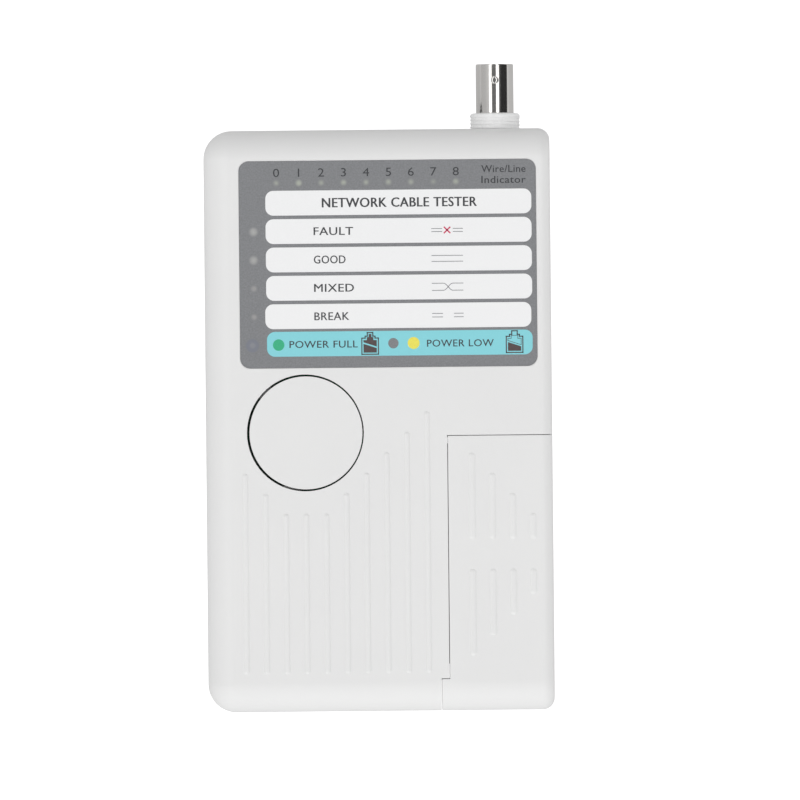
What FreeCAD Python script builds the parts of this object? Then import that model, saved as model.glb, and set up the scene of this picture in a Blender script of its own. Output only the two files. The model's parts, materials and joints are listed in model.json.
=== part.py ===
import FreeCAD, Part
import math
import os
import re
import Sketcher

# A hand-held cable tester: a main unit with a remote unit docked in its lower right corner.
# It lies on its back. X is to the right, +Y towards the coaxial jack and +Z out of the front.
# The origin is the centre of the back face. All sizes are in millimetres.

SIZES = {
    # Case: the outline of both units together, and the roll of its edges
    "case_width": 88.0,
    "case_length": 147.8,
    "case_depth": 25.0,
    "wall": 2.2,
    "parting_height": 10.0,
    "parting_gap": 0.12,
    "left_roll": 7.2,
    "end_roll": 7.6,
    "right_roll": 3.0,
    "back_roll": 2.5,
    # Dock: the corner that the remote unit fills, with a foot that reaches left at the bottom
    "dock_left": 17.35,
    "dock_top": -4.0,
    "foot_left": 15.35,
    "foot_top": -65.7,
    "seam_gap": 0.17,
    "seam_ledge": 0.6,
    # Rail on the main unit that the remote unit slides on
    "rail_bottom": -62.0,
    "rail_top": -6.0,
    "rail_middle": 16.5,
    "rail_neck": 2.0,
    "rail_head": 4.6,
    "rail_neck_depth": 1.75,
    "rail_head_depth": 1.2,
    "rail_play": 0.15,
    # Front label and the lamps behind it
    "label_left": -35.0,
    "label_right": 40.35,
    "label_bottom": 13.5,
    "label_top": 66.0,
    "label_corner": 2.5,
    "label_recess": 0.3,
    "label_thickness": 0.25,
    "label_play": 0.1,
    "lamp_radius": 1.5,
    "lamp_flange_radius": 1.85,
    "lamp_base": 19.2,
    "lamp_length": 5.2,
    "lamp_lead": 0.25,
    "lamp_lead_pitch": 2.0,
    "wire_lamp_left": -25.5,
    "wire_lamp_pitch": 5.7,
    "wire_lamp_height": 60.3,
    "state_lamp_left": -31.4,
    "state_lamp_top": 48.2,
    "state_lamp_pitch": 7.25,
    # Raised ribs that give a grip
    "rib_half": 0.75,
    "rib_rise": 0.26,
    "rib_pitch": 5.14,
    "first_rib": -34.1,
    "rib_bottom": -64.2,
    "rib_shoulder": -23.5,
    "remote_rib_half": 0.9,
    "remote_rib_first": 23.45,
    "remote_rib_top": -8.4,
    "remote_rib_upper_end": -30.4,
    "remote_rib_lower_end": -37.9,
    "remote_rib_bottom": -59.95,
    # Test button and its switch
    "button_left": -18.7,
    "button_height": -3.0,
    "button_radius": 14.33,
    "button_hole_radius": 14.83,
    "button_flange_radius": 16.0,
    "button_inside_radius": 12.6,
    "button_skin": 1.6,
    "button_skirt_bottom": 21.2,
    "button_flange_top": 22.4,
    "button_tab_radius": 2.6,
    "button_hook_bottom": 19.5,
    "button_hook_floor": 20.3,
    "button_hook_radius": 15.1,
    "button_shift": 0.15,
    "stem_radius": 2.5,
    "stem_bottom": 22.45,
    "switch_size": 8.0,
    "switch_top": 21.2,
    "switch_floor": 18.8,
    "switch_lid": 0.6,
    "plunger_radius": 1.7,
    "plunger_foot_radius": 2.7,
    "plunger_bottom": 19.9,
    "plunger_top": 22.4,
    "spring_radius": 1.9,
    "spring_wire": 0.12,
    # Circuit boards
    "board_bottom": 16.6,
    "board_thickness": 1.6,
    "board_right": 40.4,
    "board_end": 69.4,
    "board_step_x": 14.0,
    "board_step_y": 0.4,
    "board_foot": -18.4,
    "remote_board_left": 22.0,
    "remote_board_right": 41.4,
    "remote_board_foot": -71.0,
    "remote_board_end": -7.0,
    # Screws and their bosses
    "case_screw_radius": 1.25,
    "case_screw_head": 2.5,
    "case_screw_seat": 5.0,
    "case_screw_tip": 18.0,
    "case_boss_radius": 3.0,
    "case_post_radius": 4.1,
    "board_screw_radius": 0.9,
    "board_screw_head": 1.9,
    "board_screw_tip": 21.8,
    "board_boss_radius": 2.3,
    "screw_play": 0.05,
    # Sockets
    "socket_floor": 3.2,
    "socket_face": 0.3,
    "window_play": 0.15,
    "socket_depth": 17.7,
    "lan_left": -26.0,
    "lan_width": 16.0,
    "phone_left": -7.5,
    "phone_width": 13.2,
    "data_left": 10.5,
    "data_width": 13.2,
    "data_height": 5.8,
    "data_middle": 12.6,
    "square_data_width": 12.0,
    "remote_data_height": -20.7,
    "remote_phone_height": -36.3,
    "remote_lan_height": -53.9,
    "shell_sheet": 0.3,
    "contact_pitch": 1.02,
    "contact_radius": 0.2,
    # Coaxial jack
    "coax_left": 30.25,
    "coax_middle": 10.0,
    "nose_radius": 6.35,
    "nose_root": 5.85,
    "nose_length": 4.0,
    "thread_pitch": 0.907,
    "barrel_radius": 4.8,
    "barrel_bore": 4.1,
    "barrel_reach": 16.5,
    "lug_radius": 1.0,
    "lug_reach": 5.5,
    "lug_height": 12.4,
    # Battery, its door and the ribs beside it
    "battery_middle": -13.0,
    "battery_width": 26.5,
    "battery_thickness": 17.5,
    "battery_foot": -70.6,
    "battery_top": -24.2,
    "battery_bottom": 2.6,
    "post_height": 2.0,
    "post_spread": 12.7,
    "door_half": 14.0,
    "tongue_half": 15.2,
    "door_play": 0.15,
    "door_top": -20.0,
    "door_thickness": 2.05,
    "tongue_floor": 1.2,
    "guide_half": 14.3,
    "guide_outer": 16.8,
    "guide_height": 9.5,
    # Battery leads
    "lead_radius": 0.65,
    "lead_height": 11.0,
    "lead_bend": 4.0,
    "lead_start": -19.0,
    "lead_end": -9.0,
}

CASE_SCREWS = [(-37.3, 47.0), (37.3, 47.0), (-36.5, -64.0), (8.5, -64.0)]
BOARD_SCREWS = [(-36.5, 26.0), (36.5, 26.0), (-36.5, -14.0), (10.0, -14.0)]
REMOTE_CASE_SCREWS = [(32.0, -10.6), (32.0, -66.8)]
REMOTE_BOARD_SCREWS = [(24.4, -28.2), (24.4, -64.0)]
RIB_COUNT = 10
REMOTE_RIB_COUNT = 4
TAB_TURNS = (15, 135, 255)
WIRE_LAMPS = 9
STATE_LAMPS = 4

doc = FreeCAD.newDocument("CableTester")
pieces = []


# ---- The sheet of sizes ----

def make_sheet():
    """Write every size into the sheet as a plain number with a word as its alias."""
    sheet = doc.addObject("Spreadsheet::Sheet", "Sizes")
    for row, (alias, value) in enumerate(SIZES.items(), start=1):
        sheet.set(f"A{row}", alias)
        sheet.set(f"B{row}", str(value))
        sheet.setAlias(f"B{row}", alias)
    doc.recompute()
    return sheet


def linked(text):
    """Point each size's name in an expression at its cell in the sheet."""
    def cell(word):
        return "Sizes." + word.group() if word.group() in SIZES else word.group()
    return re.sub(r"[a-z_]+", cell, str(text))


def bind(item, prop, text):
    item.setExpression(prop, linked(text))


# ---- Part primitives and booleans ----

AXIS_TURNS = {
    "x": FreeCAD.Rotation(FreeCAD.Vector(0, 1, 0), 90),
    "y": FreeCAD.Rotation(FreeCAD.Vector(1, 0, 0), -90),
    "z": FreeCAD.Rotation(),
}


def place(item, spot):
    for axis, text in zip("xyz", spot):
        bind(item, f"Placement.Base.{axis}", text)


def box(name, x, y, z):
    """A box between a low and a high expression along each axis."""
    item = doc.addObject("Part::Box", name)
    for prop, (low, high) in zip(("Length", "Width", "Height"), (x, y, z)):
        bind(item, prop, f"({high}) - ({low})")
    place(item, (x[0], y[0], z[0]))
    return item


def centred_box(name, middle, size):
    """A box of a given size about a middle point."""
    sides = [(f"{mid} - ({width}) / 2", f"{mid} + ({width}) / 2") for mid, width in zip(middle, size)]
    return box(name, *sides)


def rod(name, radius, spot, length, axis="z"):
    """A cylinder that starts at a spot and runs along an axis."""
    item = doc.addObject("Part::Cylinder", name)
    bind(item, "Radius", radius)
    bind(item, "Height", length)
    item.Placement = FreeCAD.Placement(FreeCAD.Vector(), AXIS_TURNS[axis])
    place(item, spot)
    return item


def ball(name, radius, spot):
    item = doc.addObject("Part::Sphere", name)
    bind(item, "Radius", radius)
    place(item, spot)
    return item


def fuse(name, shapes):
    item = doc.addObject("Part::MultiFuse", name)
    item.Shapes = shapes
    return item


def common(name, shapes):
    item = doc.addObject("Part::MultiCommon", name)
    item.Shapes = shapes
    return item


def group(name, shapes):
    """Identical separate solids that share one node."""
    item = doc.addObject("Part::Compound", name)
    item.Links = shapes
    return item


def cut(name, base, tools):
    item = doc.addObject("Part::Cut", name)
    item.Base = base
    item.Tool = tools[0] if len(tools) == 1 else fuse(name + "_tools", tools)
    return item


def at_spots(name, master, spots):
    """Copies of one solid at several places, as a group of separate solids."""
    doc.recompute()
    item = doc.addObject("Part::Feature", name)
    item.Shape = Part.makeCompound([master.Shape.translated(FreeCAD.Vector(*spot)) for spot in spots])
    return item


def piece(node, item):
    """Record a finished sub-part under the name of its node."""
    item.Label = node
    pieces.append(item)
    return item


# ---- PartDesign bodies ----

def origin_plane(body, role):
    return [item for item in body.Origin.OriginFeatures if item.Role == role][0]


def closed_sketch(body, plane, corners):
    """A closed outline whose every corner is held at a pair of expressions."""
    sketch = body.newObject("Sketcher::SketchObject", body.Name + "_sketch")
    sketch.AttachmentSupport = (origin_plane(body, plane), [""])
    sketch.MapMode = "FlatFace"
    count = len(corners)
    turns = [2 * math.pi * index / count for index in range(count)]
    starts = [FreeCAD.Vector(math.cos(turn), math.sin(turn), 0) for turn in turns]
    for index in range(count):
        sketch.addGeometry(Part.LineSegment(starts[index], starts[(index + 1) % count]), False)
    for index in range(count):
        sketch.addConstraint(Sketcher.Constraint("Coincident", index, 2, (index + 1) % count, 1))
    for index, corner in enumerate(corners):
        for kind, start, text in zip(("DistanceX", "DistanceY"), starts[index], corner):
            number = sketch.addConstraint(Sketcher.Constraint(kind, index, 1, start))
            bind(sketch, f"Constraints[{number}]", text)
    return sketch


def padded(name, corners, thickness, base="0"):
    """A flat plate: an outline on the XY plane, raised to a base height and padded."""
    body = doc.addObject("PartDesign::Body", name)
    pad = body.newObject("PartDesign::Pad", name + "_pad")
    sketch = closed_sketch(body, "XY_Plane", corners)
    bind(sketch, "AttachmentOffset.Base.z", base)
    pad.Profile = sketch
    bind(pad, "Length", thickness)
    return body


def turned(name, corners, plane="XZ_Plane"):
    """A round piece: half of its section, turned about the sketch's upright axis."""
    body = doc.addObject("PartDesign::Body", name)
    revolution = body.newObject("PartDesign::Revolution", name + "_turn")
    sketch = closed_sketch(body, plane, corners)
    revolution.Profile = sketch
    revolution.ReferenceAxis = (sketch, ["V_Axis"])
    revolution.Angle = 360
    return body


def rectangle(left, right, bottom, top):
    return [(left, bottom), (right, bottom), (right, top), (left, top)]


def round_edges(body, name, chosen, radius):
    """Fillet the edges of a body that a test picks out."""
    doc.recompute()
    base = body.Tip
    names = [f"Edge{number}" for number, edge in enumerate(base.Shape.Edges, start=1) if chosen(edge)]
    fillet = body.newObject("PartDesign::Fillet", name)
    fillet.Base = (base, names)
    bind(fillet, "Radius", radius)
    return fillet


def lies_on(edge, axis, value):
    limits = edge.BoundBox
    low = getattr(limits, axis + "Min")
    high = getattr(limits, axis + "Max")
    return abs(low - value) < 1e-4 and abs(high - value) < 1e-4


# ---- The case as one block ----

def case_block(name, inset):
    """The outline of the whole case, or with an inset the room inside its walls."""
    half_width = f"(case_width / 2 - {inset})"
    half_length = f"(case_length / 2 - {inset})"
    corners = rectangle(f"-{half_width}", half_width, f"-{half_length}", half_length)
    body = padded(name, corners, f"case_depth - 2 * {inset}", inset)
    doc.recompute()
    limits = body.Shape.BoundBox
    round_edges(body, name + "_ends",
                lambda edge: lies_on(edge, "Z", limits.ZMax)
                and (lies_on(edge, "Y", limits.YMin) or lies_on(edge, "Y", limits.YMax)),
                f"end_roll - {inset}")
    round_edges(body, name + "_left",
                lambda edge: lies_on(edge, "X", limits.XMin) and not lies_on(edge, "Z", limits.ZMin),
                f"left_roll - {inset}")
    round_edges(body, name + "_right",
                lambda edge: lies_on(edge, "X", limits.XMax) and not lies_on(edge, "Z", limits.ZMin),
                f"right_roll - {inset}")
    if inset == "0":
        round_edges(body, name + "_back", lambda edge: lies_on(edge, "Z", limits.ZMin), "back_roll")
    doc.recompute()
    return body


def dock_zone(name, grow, lower="0"):
    """The corner that the remote unit fills, grown outwards or, when negative, shrunk.

    The rear halves meet a little lower than the front halves, so that the seam hides its own depth.
    """
    height = ("-wall", "case_depth + wall")
    column = box(name + "_column", (f"dock_left - ({grow})", "case_width"),
                 ("-case_length", f"dock_top + ({grow}) - {lower}"), height)
    foot = box(name + "_foot", (f"foot_left - ({grow})", "case_width"),
               ("-case_length", f"foot_top + ({grow}) - {lower}"), height)
    return fuse(name, [column, foot])


def half_of_case(name, front):
    height = ("-case_depth", "parting_height - parting_gap")
    if front:
        height = ("parting_height", "2 * case_depth")
    return box(name, ("-case_width", "case_width"), ("-case_length", "case_length"), height)


def low_rib(name, half, x, low, high):
    """A shallow rounded bar along Y: the crown of a thick rod, cut off below the front face."""
    radius = f"({half} ^ 2 + rib_rise ^ 2) / (2 * rib_rise)"
    middle = f"case_depth + rib_rise - {radius}"
    first = f"{low} + {half}"
    last = f"{high} - {half}"
    bar = rod(name + "_bar", radius, (x, first, middle), f"({last}) - ({first})", "y")
    ends = [ball(f"{name}_end{side}", radius, (x, spot, middle))
            for side, spot in enumerate((first, last))]
    skin = box(name + "_skin", (f"{x} - 2 * {half}", f"{x} + 2 * {half}"),
               (f"{low} - {half}", f"{high} + {half}"),
               ("case_depth - wall / 4", "case_depth + rib_rise * 2"))
    return common(name, [fuse(name + "_rod", [bar] + ends), skin])


def main_ribs():
    """Grip ribs whose tops step down around the button and up towards the right."""
    ribs = []
    for index in range(RIB_COUNT):
        steps = max(2 - index, 0, index - 4)
        ribs.append(low_rib(f"rib{index}", "rib_half", f"first_rib + {index} * rib_pitch",
                            "rib_bottom", f"rib_shoulder + {steps} * rib_pitch"))
    return ribs


def remote_ribs():
    """Two groups of grip ribs that shorten towards the right and mirror each other."""
    ribs = []
    for index in range(REMOTE_RIB_COUNT):
        x = f"remote_rib_first + {index} * rib_pitch"
        step = f"{index} * rib_pitch"
        ribs.append(low_rib(f"remote_rib_upper{index}", "remote_rib_half", x,
                            "remote_rib_upper_end", f"remote_rib_top - {step}"))
        ribs.append(low_rib(f"remote_rib_lower{index}", "remote_rib_half", x,
                            f"remote_rib_bottom + {step}", "remote_rib_lower_end"))
    return ribs


# ---- Openings that both shells of a unit share ----

def socket_windows(name):
    """Windows in the top wall for the three sockets and the round hole for the coaxial nose."""
    wall_span = ("case_length / 2 - 2 * wall", "case_length / 2 + wall")
    deep = ("socket_floor - window_play", "board_bottom + window_play")
    windows = []
    for socket in ("lan", "phone"):
        span = (f"{socket}_left - {socket}_width / 2 - window_play",
                f"{socket}_left + {socket}_width / 2 + window_play")
        windows.append(box(f"{name}_{socket}", span, wall_span, deep))
    windows.append(box(f"{name}_data",
                       ("data_left - data_width / 2 - window_play",
                        "data_left + data_width / 2 + window_play"),
                       wall_span,
                       ("data_middle - data_height / 2 - window_play",
                        "data_middle + data_height / 2 + window_play")))
    windows.append(rod(f"{name}_coax", "nose_radius + window_play",
                       ("coax_left", "case_length / 2 - 2 * wall", "coax_middle"), "3 * wall", "y"))
    return windows


def remote_windows(name):
    """Windows in the long outer wall of the remote unit for its three sockets."""
    windows = []
    for socket, width in (("lan", "lan_width"), ("phone", "phone_width"), ("data", "square_data_width")):
        middle = f"remote_{socket}_height"
        windows.append(box(f"{name}_{socket}", ("case_width / 2 - 2 * wall", "case_width / 2 + wall"),
                           (f"{middle} - {width} / 2 - window_play",
                            f"{middle} + {width} / 2 + window_play"),
                           ("socket_floor - window_play", "board_bottom + window_play")))
    return windows


# ---- Bosses and screw holes ----

def front_bosses(name, case_spots, board_spots):
    """Bosses inside a front shell: long ones for the case screws, short ones for the board."""
    bosses = []
    for number, (x, y) in enumerate(case_spots):
        bosses.append(rod(f"{name}_case_boss{number}", "case_boss_radius", (x, y, "parting_height"),
                          "case_depth - wall / 2 - parting_height"))
    for number, (x, y) in enumerate(board_spots):
        bosses.append(rod(f"{name}_board_boss{number}", "board_boss_radius",
                          (x, y, "board_bottom + board_thickness"),
                          "case_depth - wall / 2 - board_bottom - board_thickness"))
    return bosses


def front_pilots(name, case_spots, board_spots):
    pilots = []
    for number, (x, y) in enumerate(case_spots):
        pilots.append(rod(f"{name}_case_pilot{number}", "case_screw_radius + screw_play", (x, y, 0),
                          "case_screw_tip + 1"))
    for number, (x, y) in enumerate(board_spots):
        pilots.append(rod(f"{name}_board_pilot{number}", "board_screw_radius + screw_play",
                          (x, y, "board_bottom"), "board_screw_tip + 0.4 - board_bottom"))
    return pilots


def rear_posts(name, case_spots):
    return [rod(f"{name}_post{number}", "case_post_radius", (x, y, "wall / 2"),
                "parting_height - parting_gap - wall / 2") for number, (x, y) in enumerate(case_spots)]


def rear_screw_holes(name, case_spots):
    holes = []
    for number, (x, y) in enumerate(case_spots):
        holes.append(rod(f"{name}_sink{number}", "case_screw_head + 0.3", (x, y, "-wall"),
                         "case_screw_seat + wall"))
        holes.append(rod(f"{name}_hole{number}", "case_screw_radius + 0.3", (x, y, 0), "parting_height"))
    return holes


# ---- Shells of the main unit ----

def main_half(name, block, core, front):
    """Half of the main unit's case, hollow, without its corner for the remote unit."""
    lower = "0" if front else "seam_ledge"
    outside = cut(name + "_outside", common(name + "_half", [block, half_of_case(name + "_side", front)]),
                  [dock_zone(name + "_dock", "seam_gap / 2", lower)])
    room = cut(name + "_room", core, [dock_zone(name + "_dock_wall", "wall + seam_gap / 2", lower)])
    return cut(name + "_bare", outside, [room])


def dock_rail():
    """The T-shaped rail on the dock wall."""
    face = "dock_left - seam_gap / 2"
    length = ("rail_bottom", "rail_top")
    neck = box("rail_neck_bar", (f"{face} - wall / 2", f"{face} + rail_neck_depth"), length,
               ("rail_middle - rail_neck / 2", "rail_middle + rail_neck / 2"))
    head = box("rail_head_bar",
               (f"{face} + rail_neck_depth", f"{face} + rail_neck_depth + rail_head_depth"),
               length, ("rail_middle - rail_head / 2", "rail_middle + rail_head / 2"))
    return [neck, head]


def battery_stops():
    """Two bars under the front wall that keep the battery down."""
    stops = []
    for number, y in enumerate((-60.0, -35.0)):
        stops.append(box(f"battery_stop{number}",
                         ("battery_middle - battery_width / 2", "battery_middle + battery_width / 2"),
                         (y, y + 1.5),
                         ("battery_bottom + battery_thickness + 0.3", "case_depth - wall / 2")))
    return stops


def lamp_spots():
    wire = [(f"wire_lamp_left + {index} * wire_lamp_pitch", "wire_lamp_height")
            for index in range(WIRE_LAMPS)]
    state = [("state_lamp_left", f"state_lamp_top - {index} * state_lamp_pitch")
             for index in range(STATE_LAMPS + 1)]
    return wire, state


def make_front_shell(block, core):
    bare = main_half("front", block, core, True)
    full = fuse("front_full", [bare] + front_bosses("front", CASE_SCREWS, BOARD_SCREWS) + dock_rail()
                + battery_stops() + main_ribs())
    label_bed = label_plate("label_bed", "label_play", "wall")
    button_hole = rod("button_hole", "button_hole_radius",
                      ("button_left", "button_height", "parting_height"), "case_depth")
    wire, state = lamp_spots()
    lamp_holes = [rod(f"lamp_hole{number}", "lamp_radius + 0.15", (x, y, "board_bottom + 3"),
                      "case_depth")
                  for number, (x, y) in enumerate(wire + state)]
    tools = [label_bed, button_hole] + lamp_holes + socket_windows("front_window")
    tools += front_pilots("front", CASE_SCREWS, BOARD_SCREWS)
    return piece("front_shell", cut("front_shell", full, tools))


def battery_guides():
    """Ribs beside the battery, which hold the door's tongues down, and one across its end."""
    guides = []
    for side, sign in (("left", "-"), ("right", "+")):
        near = f"battery_middle {sign} guide_half"
        far = f"battery_middle {sign} guide_outer"
        span = (far, near) if sign == "-" else (near, far)
        guides.append(box(f"guide_{side}", span, ("-case_length / 2 + wall / 2", "door_top + 3"),
                          ("wall - 0.05", "guide_height")))
    guides.append(box("guide_end", ("battery_middle - guide_outer", "battery_middle + guide_outer"),
                      ("door_top + 1.4", "door_top + 3"), ("wall / 2", "guide_height")))
    return guides


def door_slot():
    """The way that the battery door slides: narrow at the back face, wide for its tongues."""
    length = ("-case_length", "door_top")
    narrow = box("slot_narrow",
                 ("battery_middle - door_half - door_play", "battery_middle + door_half + door_play"),
                 length, ("-wall", "wall"))
    wide = box("slot_wide",
               ("battery_middle - tongue_half - door_play", "battery_middle + tongue_half + door_play"),
               length, ("tongue_floor - 0.1", "wall"))
    return [narrow, wide]


def make_rear_shell(block, core):
    bare = main_half("rear", block, core, False)
    full = fuse("rear_full", [bare] + rear_posts("rear", CASE_SCREWS) + battery_guides())
    tools = door_slot() + socket_windows("rear_window") + rear_screw_holes("rear", CASE_SCREWS)
    return piece("rear_shell", cut("rear_shell", full, tools))


def make_battery_door(block):
    """A plate with a tongue along each side and thumb grooves near its lower end."""
    top = "door_top - door_play"
    plate = common("door_plate", [block, box("door_box",
                                             ("battery_middle - door_half", "battery_middle + door_half"),
                                             ("-case_length", top), ("-wall", "door_thickness"))])
    tongues = box("door_tongues", ("battery_middle - tongue_half", "battery_middle + tongue_half"),
                  ("-case_length / 2 + 0.9", top), ("tongue_floor", "door_thickness"))
    grooves = [box(f"door_groove{number}", ("battery_middle - 8", "battery_middle + 8"),
                   (-67 + 2 * number, -66 + 2 * number), (-1, 0.45)) for number in range(5)]
    return piece("battery_door", cut("battery_door", fuse("door_full", [plate, tongues]), grooves))


# ---- Shells of the remote unit ----

def remote_half(name, block, core, front):
    lower = "0" if front else "seam_ledge"
    outside = common(name + "_outside", [block, half_of_case(name + "_side", front),
                                         dock_zone(name + "_zone", "-seam_gap / 2", lower)])
    room = common(name + "_room", [core, dock_zone(name + "_room_zone", "-(wall + seam_gap / 2)", lower)])
    return cut(name + "_bare", outside, [room])


def rail_channel():
    """The thick wall around the rail's slot, and the T-shaped slot, open at the top end."""
    face = "dock_left - seam_gap / 2"
    head_back = f"{face} + rail_neck_depth + rail_head_depth + rail_play"
    block = box("channel_block", ("dock_left + wall / 2", f"{head_back} + 1.2"),
                ("rail_bottom - 1.5", "dock_top - wall / 2"),
                ("rail_middle - rail_head / 2 - 1.4", "rail_middle + rail_head / 2 + 1.4"))
    length = ("rail_bottom - 0.3", "0")
    neck = box("channel_neck", (face, head_back), length,
               ("rail_middle - rail_neck / 2 - rail_play", "rail_middle + rail_neck / 2 + rail_play"))
    head = box("channel_head", (f"{face} + rail_neck_depth - rail_play", head_back), length,
               ("rail_middle - rail_head / 2 - rail_play", "rail_middle + rail_head / 2 + rail_play"))
    return block, [neck, head]


def make_remote_front_shell(block, core):
    bare = remote_half("remote_front", block, core, True)
    channel, slot = rail_channel()
    full = fuse("remote_front_full", [bare, channel] + remote_ribs()
                + front_bosses("remote_front", REMOTE_CASE_SCREWS, REMOTE_BOARD_SCREWS))
    tools = slot + remote_windows("remote_front_window")
    tools += front_pilots("remote_front", REMOTE_CASE_SCREWS, REMOTE_BOARD_SCREWS)
    return piece("remote_front_shell", cut("remote_front_shell", full, tools))


def make_remote_rear_shell(block, core):
    bare = remote_half("remote_rear", block, core, False)
    full = fuse("remote_rear_full", [bare] + rear_posts("remote_rear", REMOTE_CASE_SCREWS))
    tools = remote_windows("remote_rear_window") + rear_screw_holes("remote_rear", REMOTE_CASE_SCREWS)
    return piece("remote_rear_shell", cut("remote_rear_shell", full, tools))


# ---- Label, lamps and button ----

def label_plate(name, grow, thickness):
    """A plate with the label's rounded outline, grown outwards for the bed that it lies in."""
    body = padded(name, rectangle(f"label_left - {grow}", f"label_right + {grow}",
                                  f"label_bottom - {grow}", f"label_top + {grow}"),
                  thickness, "case_depth - label_recess")
    round_edges(body, name + "_corners", lambda edge: edge.BoundBox.ZLength > 0.01,
                f"label_corner + {grow}")
    return body


def make_front_label():
    return piece("front_label", label_plate("label_film", "0", "label_thickness"))


def make_lamps():
    """Domed lamps: a flange at the foot, a round body and a dome, with two leads each."""
    dome_start = "lamp_length - lamp_radius"
    body = turned("lamp_master", [("0", "0"), ("lamp_flange_radius", "0"), ("lamp_flange_radius", "0.9"),
                                  ("lamp_radius", "0.9"), ("lamp_radius", dome_start),
                                  ("lamp_radius * 0.75", "lamp_length - lamp_radius * 0.34"),
                                  ("0", "lamp_length")])
    doc.recompute()
    wire = [(SIZES["wire_lamp_left"] + index * SIZES["wire_lamp_pitch"], SIZES["wire_lamp_height"],
             SIZES["lamp_base"]) for index in range(WIRE_LAMPS)]
    state = [(SIZES["state_lamp_left"], SIZES["state_lamp_top"] - index * SIZES["state_lamp_pitch"],
              SIZES["lamp_base"]) for index in range(STATE_LAMPS + 1)]
    piece("wire_lamps", at_spots("wire_lamps", body, wire))
    piece("condition_lamps", at_spots("condition_lamps", body, state[:STATE_LAMPS]))
    piece("battery_lamp", at_spots("battery_lamp", body, state[STATE_LAMPS:]))
    lead = rod("lamp_lead_master", "lamp_lead", (0, 0, "board_bottom - lamp_base"),
               "lamp_base - board_bottom")
    half = SIZES["lamp_lead_pitch"] / 2
    feet = [(x, y + side * half, z) for x, y, z in wire + state for side in (-1, 1)]
    piece("lamp_leads", at_spots("lamp_leads", lead, feet))
    return [(x, y) for x, y, z in feet]


def button_tabs():
    """Three hooks on the foot of the cap's skirt that reach out and up behind the edge of the hole."""
    flange = turned("button_flange", [
        ("button_inside_radius", "button_hook_bottom"), ("button_flange_radius", "button_hook_bottom"),
        ("button_flange_radius", "button_flange_top"), ("button_hook_radius", "button_flange_top"),
        ("button_hook_radius", "button_hook_floor"), ("button_radius", "button_hook_floor"),
        ("button_radius", "button_skirt_bottom + 0.2"), ("button_inside_radius", "button_skirt_bottom + 0.2")])
    rods = [rod(f"button_tab{turn}", "button_tab_radius",
                (f"button_flange_radius * cos({turn})", f"button_flange_radius * sin({turn})",
                 "button_hook_bottom"), "button_flange_top - button_hook_bottom") for turn in TAB_TURNS]
    return common("button_tabs", [flange, fuse("button_tab_rods", rods)])


def make_button():
    """The cap: a flat top, a skirt whose hooks catch under the case, and a stem."""
    top = "case_depth"
    under = "case_depth - button_skin"
    cap = turned("button_bare_cap", [
        ("0", "stem_bottom"), ("stem_radius", "stem_bottom"), ("stem_radius", under),
        ("button_inside_radius", under), ("button_inside_radius", "button_skirt_bottom"),
        ("button_radius", "button_skirt_bottom"), ("button_radius", top), ("0", top)])
    body = fuse("button_cap_body", [cap, button_tabs()])
    place(body, ("button_left + button_shift", "button_height", "0"))
    return piece("button_cap", body)


def make_switch():
    """The push switch: a square base with a round well, its plunger and its spring."""
    middle = ("button_left", "button_height")
    block = centred_box("switch_block", middle + ("(board_bottom + board_thickness + switch_top) / 2",),
                        ("switch_size", "switch_size", "switch_top - board_bottom - board_thickness"))
    well = rod("switch_well", "plunger_foot_radius + 0.15", middle + ("switch_floor",),
               "switch_top - switch_lid - switch_floor")
    mouth = rod("switch_mouth", "plunger_radius + 0.08", middle + ("switch_floor",), "case_depth")
    piece("switch_base", cut("switch_base", block, [well, mouth]))
    plunger = turned("plunger_body", [
        ("0", "plunger_bottom"), ("plunger_foot_radius", "plunger_bottom"),
        ("plunger_foot_radius", "switch_top - switch_lid - 0.05"),
        ("plunger_radius", "switch_top - switch_lid - 0.05"), ("plunger_radius", "plunger_top"),
        ("0", "plunger_top")])
    place(plunger, middle + ("0",))
    piece("switch_plunger", plunger)
    make_switch_spring()


def make_switch_spring():
    """A coil spring between the floor of the switch's well and the plunger."""
    wire = SIZES["spring_wire"]
    low = SIZES["switch_floor"] + wire + 0.02
    height = SIZES["plunger_bottom"] - SIZES["switch_floor"] - 2 * wire - 0.04
    helix = Part.makeHelix(height / 3, height, SIZES["spring_radius"])
    start = FreeCAD.Vector(SIZES["spring_radius"], 0, 0)
    section = Part.Wire(Part.makeCircle(wire, start, FreeCAD.Vector(0, 1, 0)))
    coil = Part.Wire(helix).makePipeShell([section], True, True)
    item = doc.addObject("Part::Feature", "switch_spring")
    item.Shape = coil.Solids[0]
    item.Placement = FreeCAD.Placement(FreeCAD.Vector(SIZES["button_left"], SIZES["button_height"], low),
                                       FreeCAD.Rotation())
    piece("switch_spring", item)


# ---- Boards, screws and electronics ----

def board_holes(name, case_spots, board_spots):
    start = "board_bottom - 1"
    holes = [rod(f"{name}_notch{number}", "case_boss_radius + 0.3", (x, y, start), "4")
             for number, (x, y) in enumerate(case_spots)]
    holes += [rod(f"{name}_bolt{number}", "board_screw_radius + 0.2", (x, y, start), "4")
              for number, (x, y) in enumerate(board_spots)]
    return holes


def make_main_board(lead_spots):
    outline = [("-board_right", "board_foot"), ("board_step_x", "board_foot"),
               ("board_step_x", "board_step_y"), ("board_right", "board_step_y"),
               ("board_right", "board_end"), ("-board_right", "board_end")]
    plate = padded("main_board_plate", outline, "board_thickness", "board_bottom")
    holes = board_holes("main_board", CASE_SCREWS[:2], BOARD_SCREWS)
    holes += [rod(f"lead_hole{number}", "lamp_lead + 0.1", (x, y, "board_bottom - 1"), "4")
              for number, (x, y) in enumerate(lead_spots)]
    return piece("main_board", cut("main_board", plate, holes))


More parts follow.
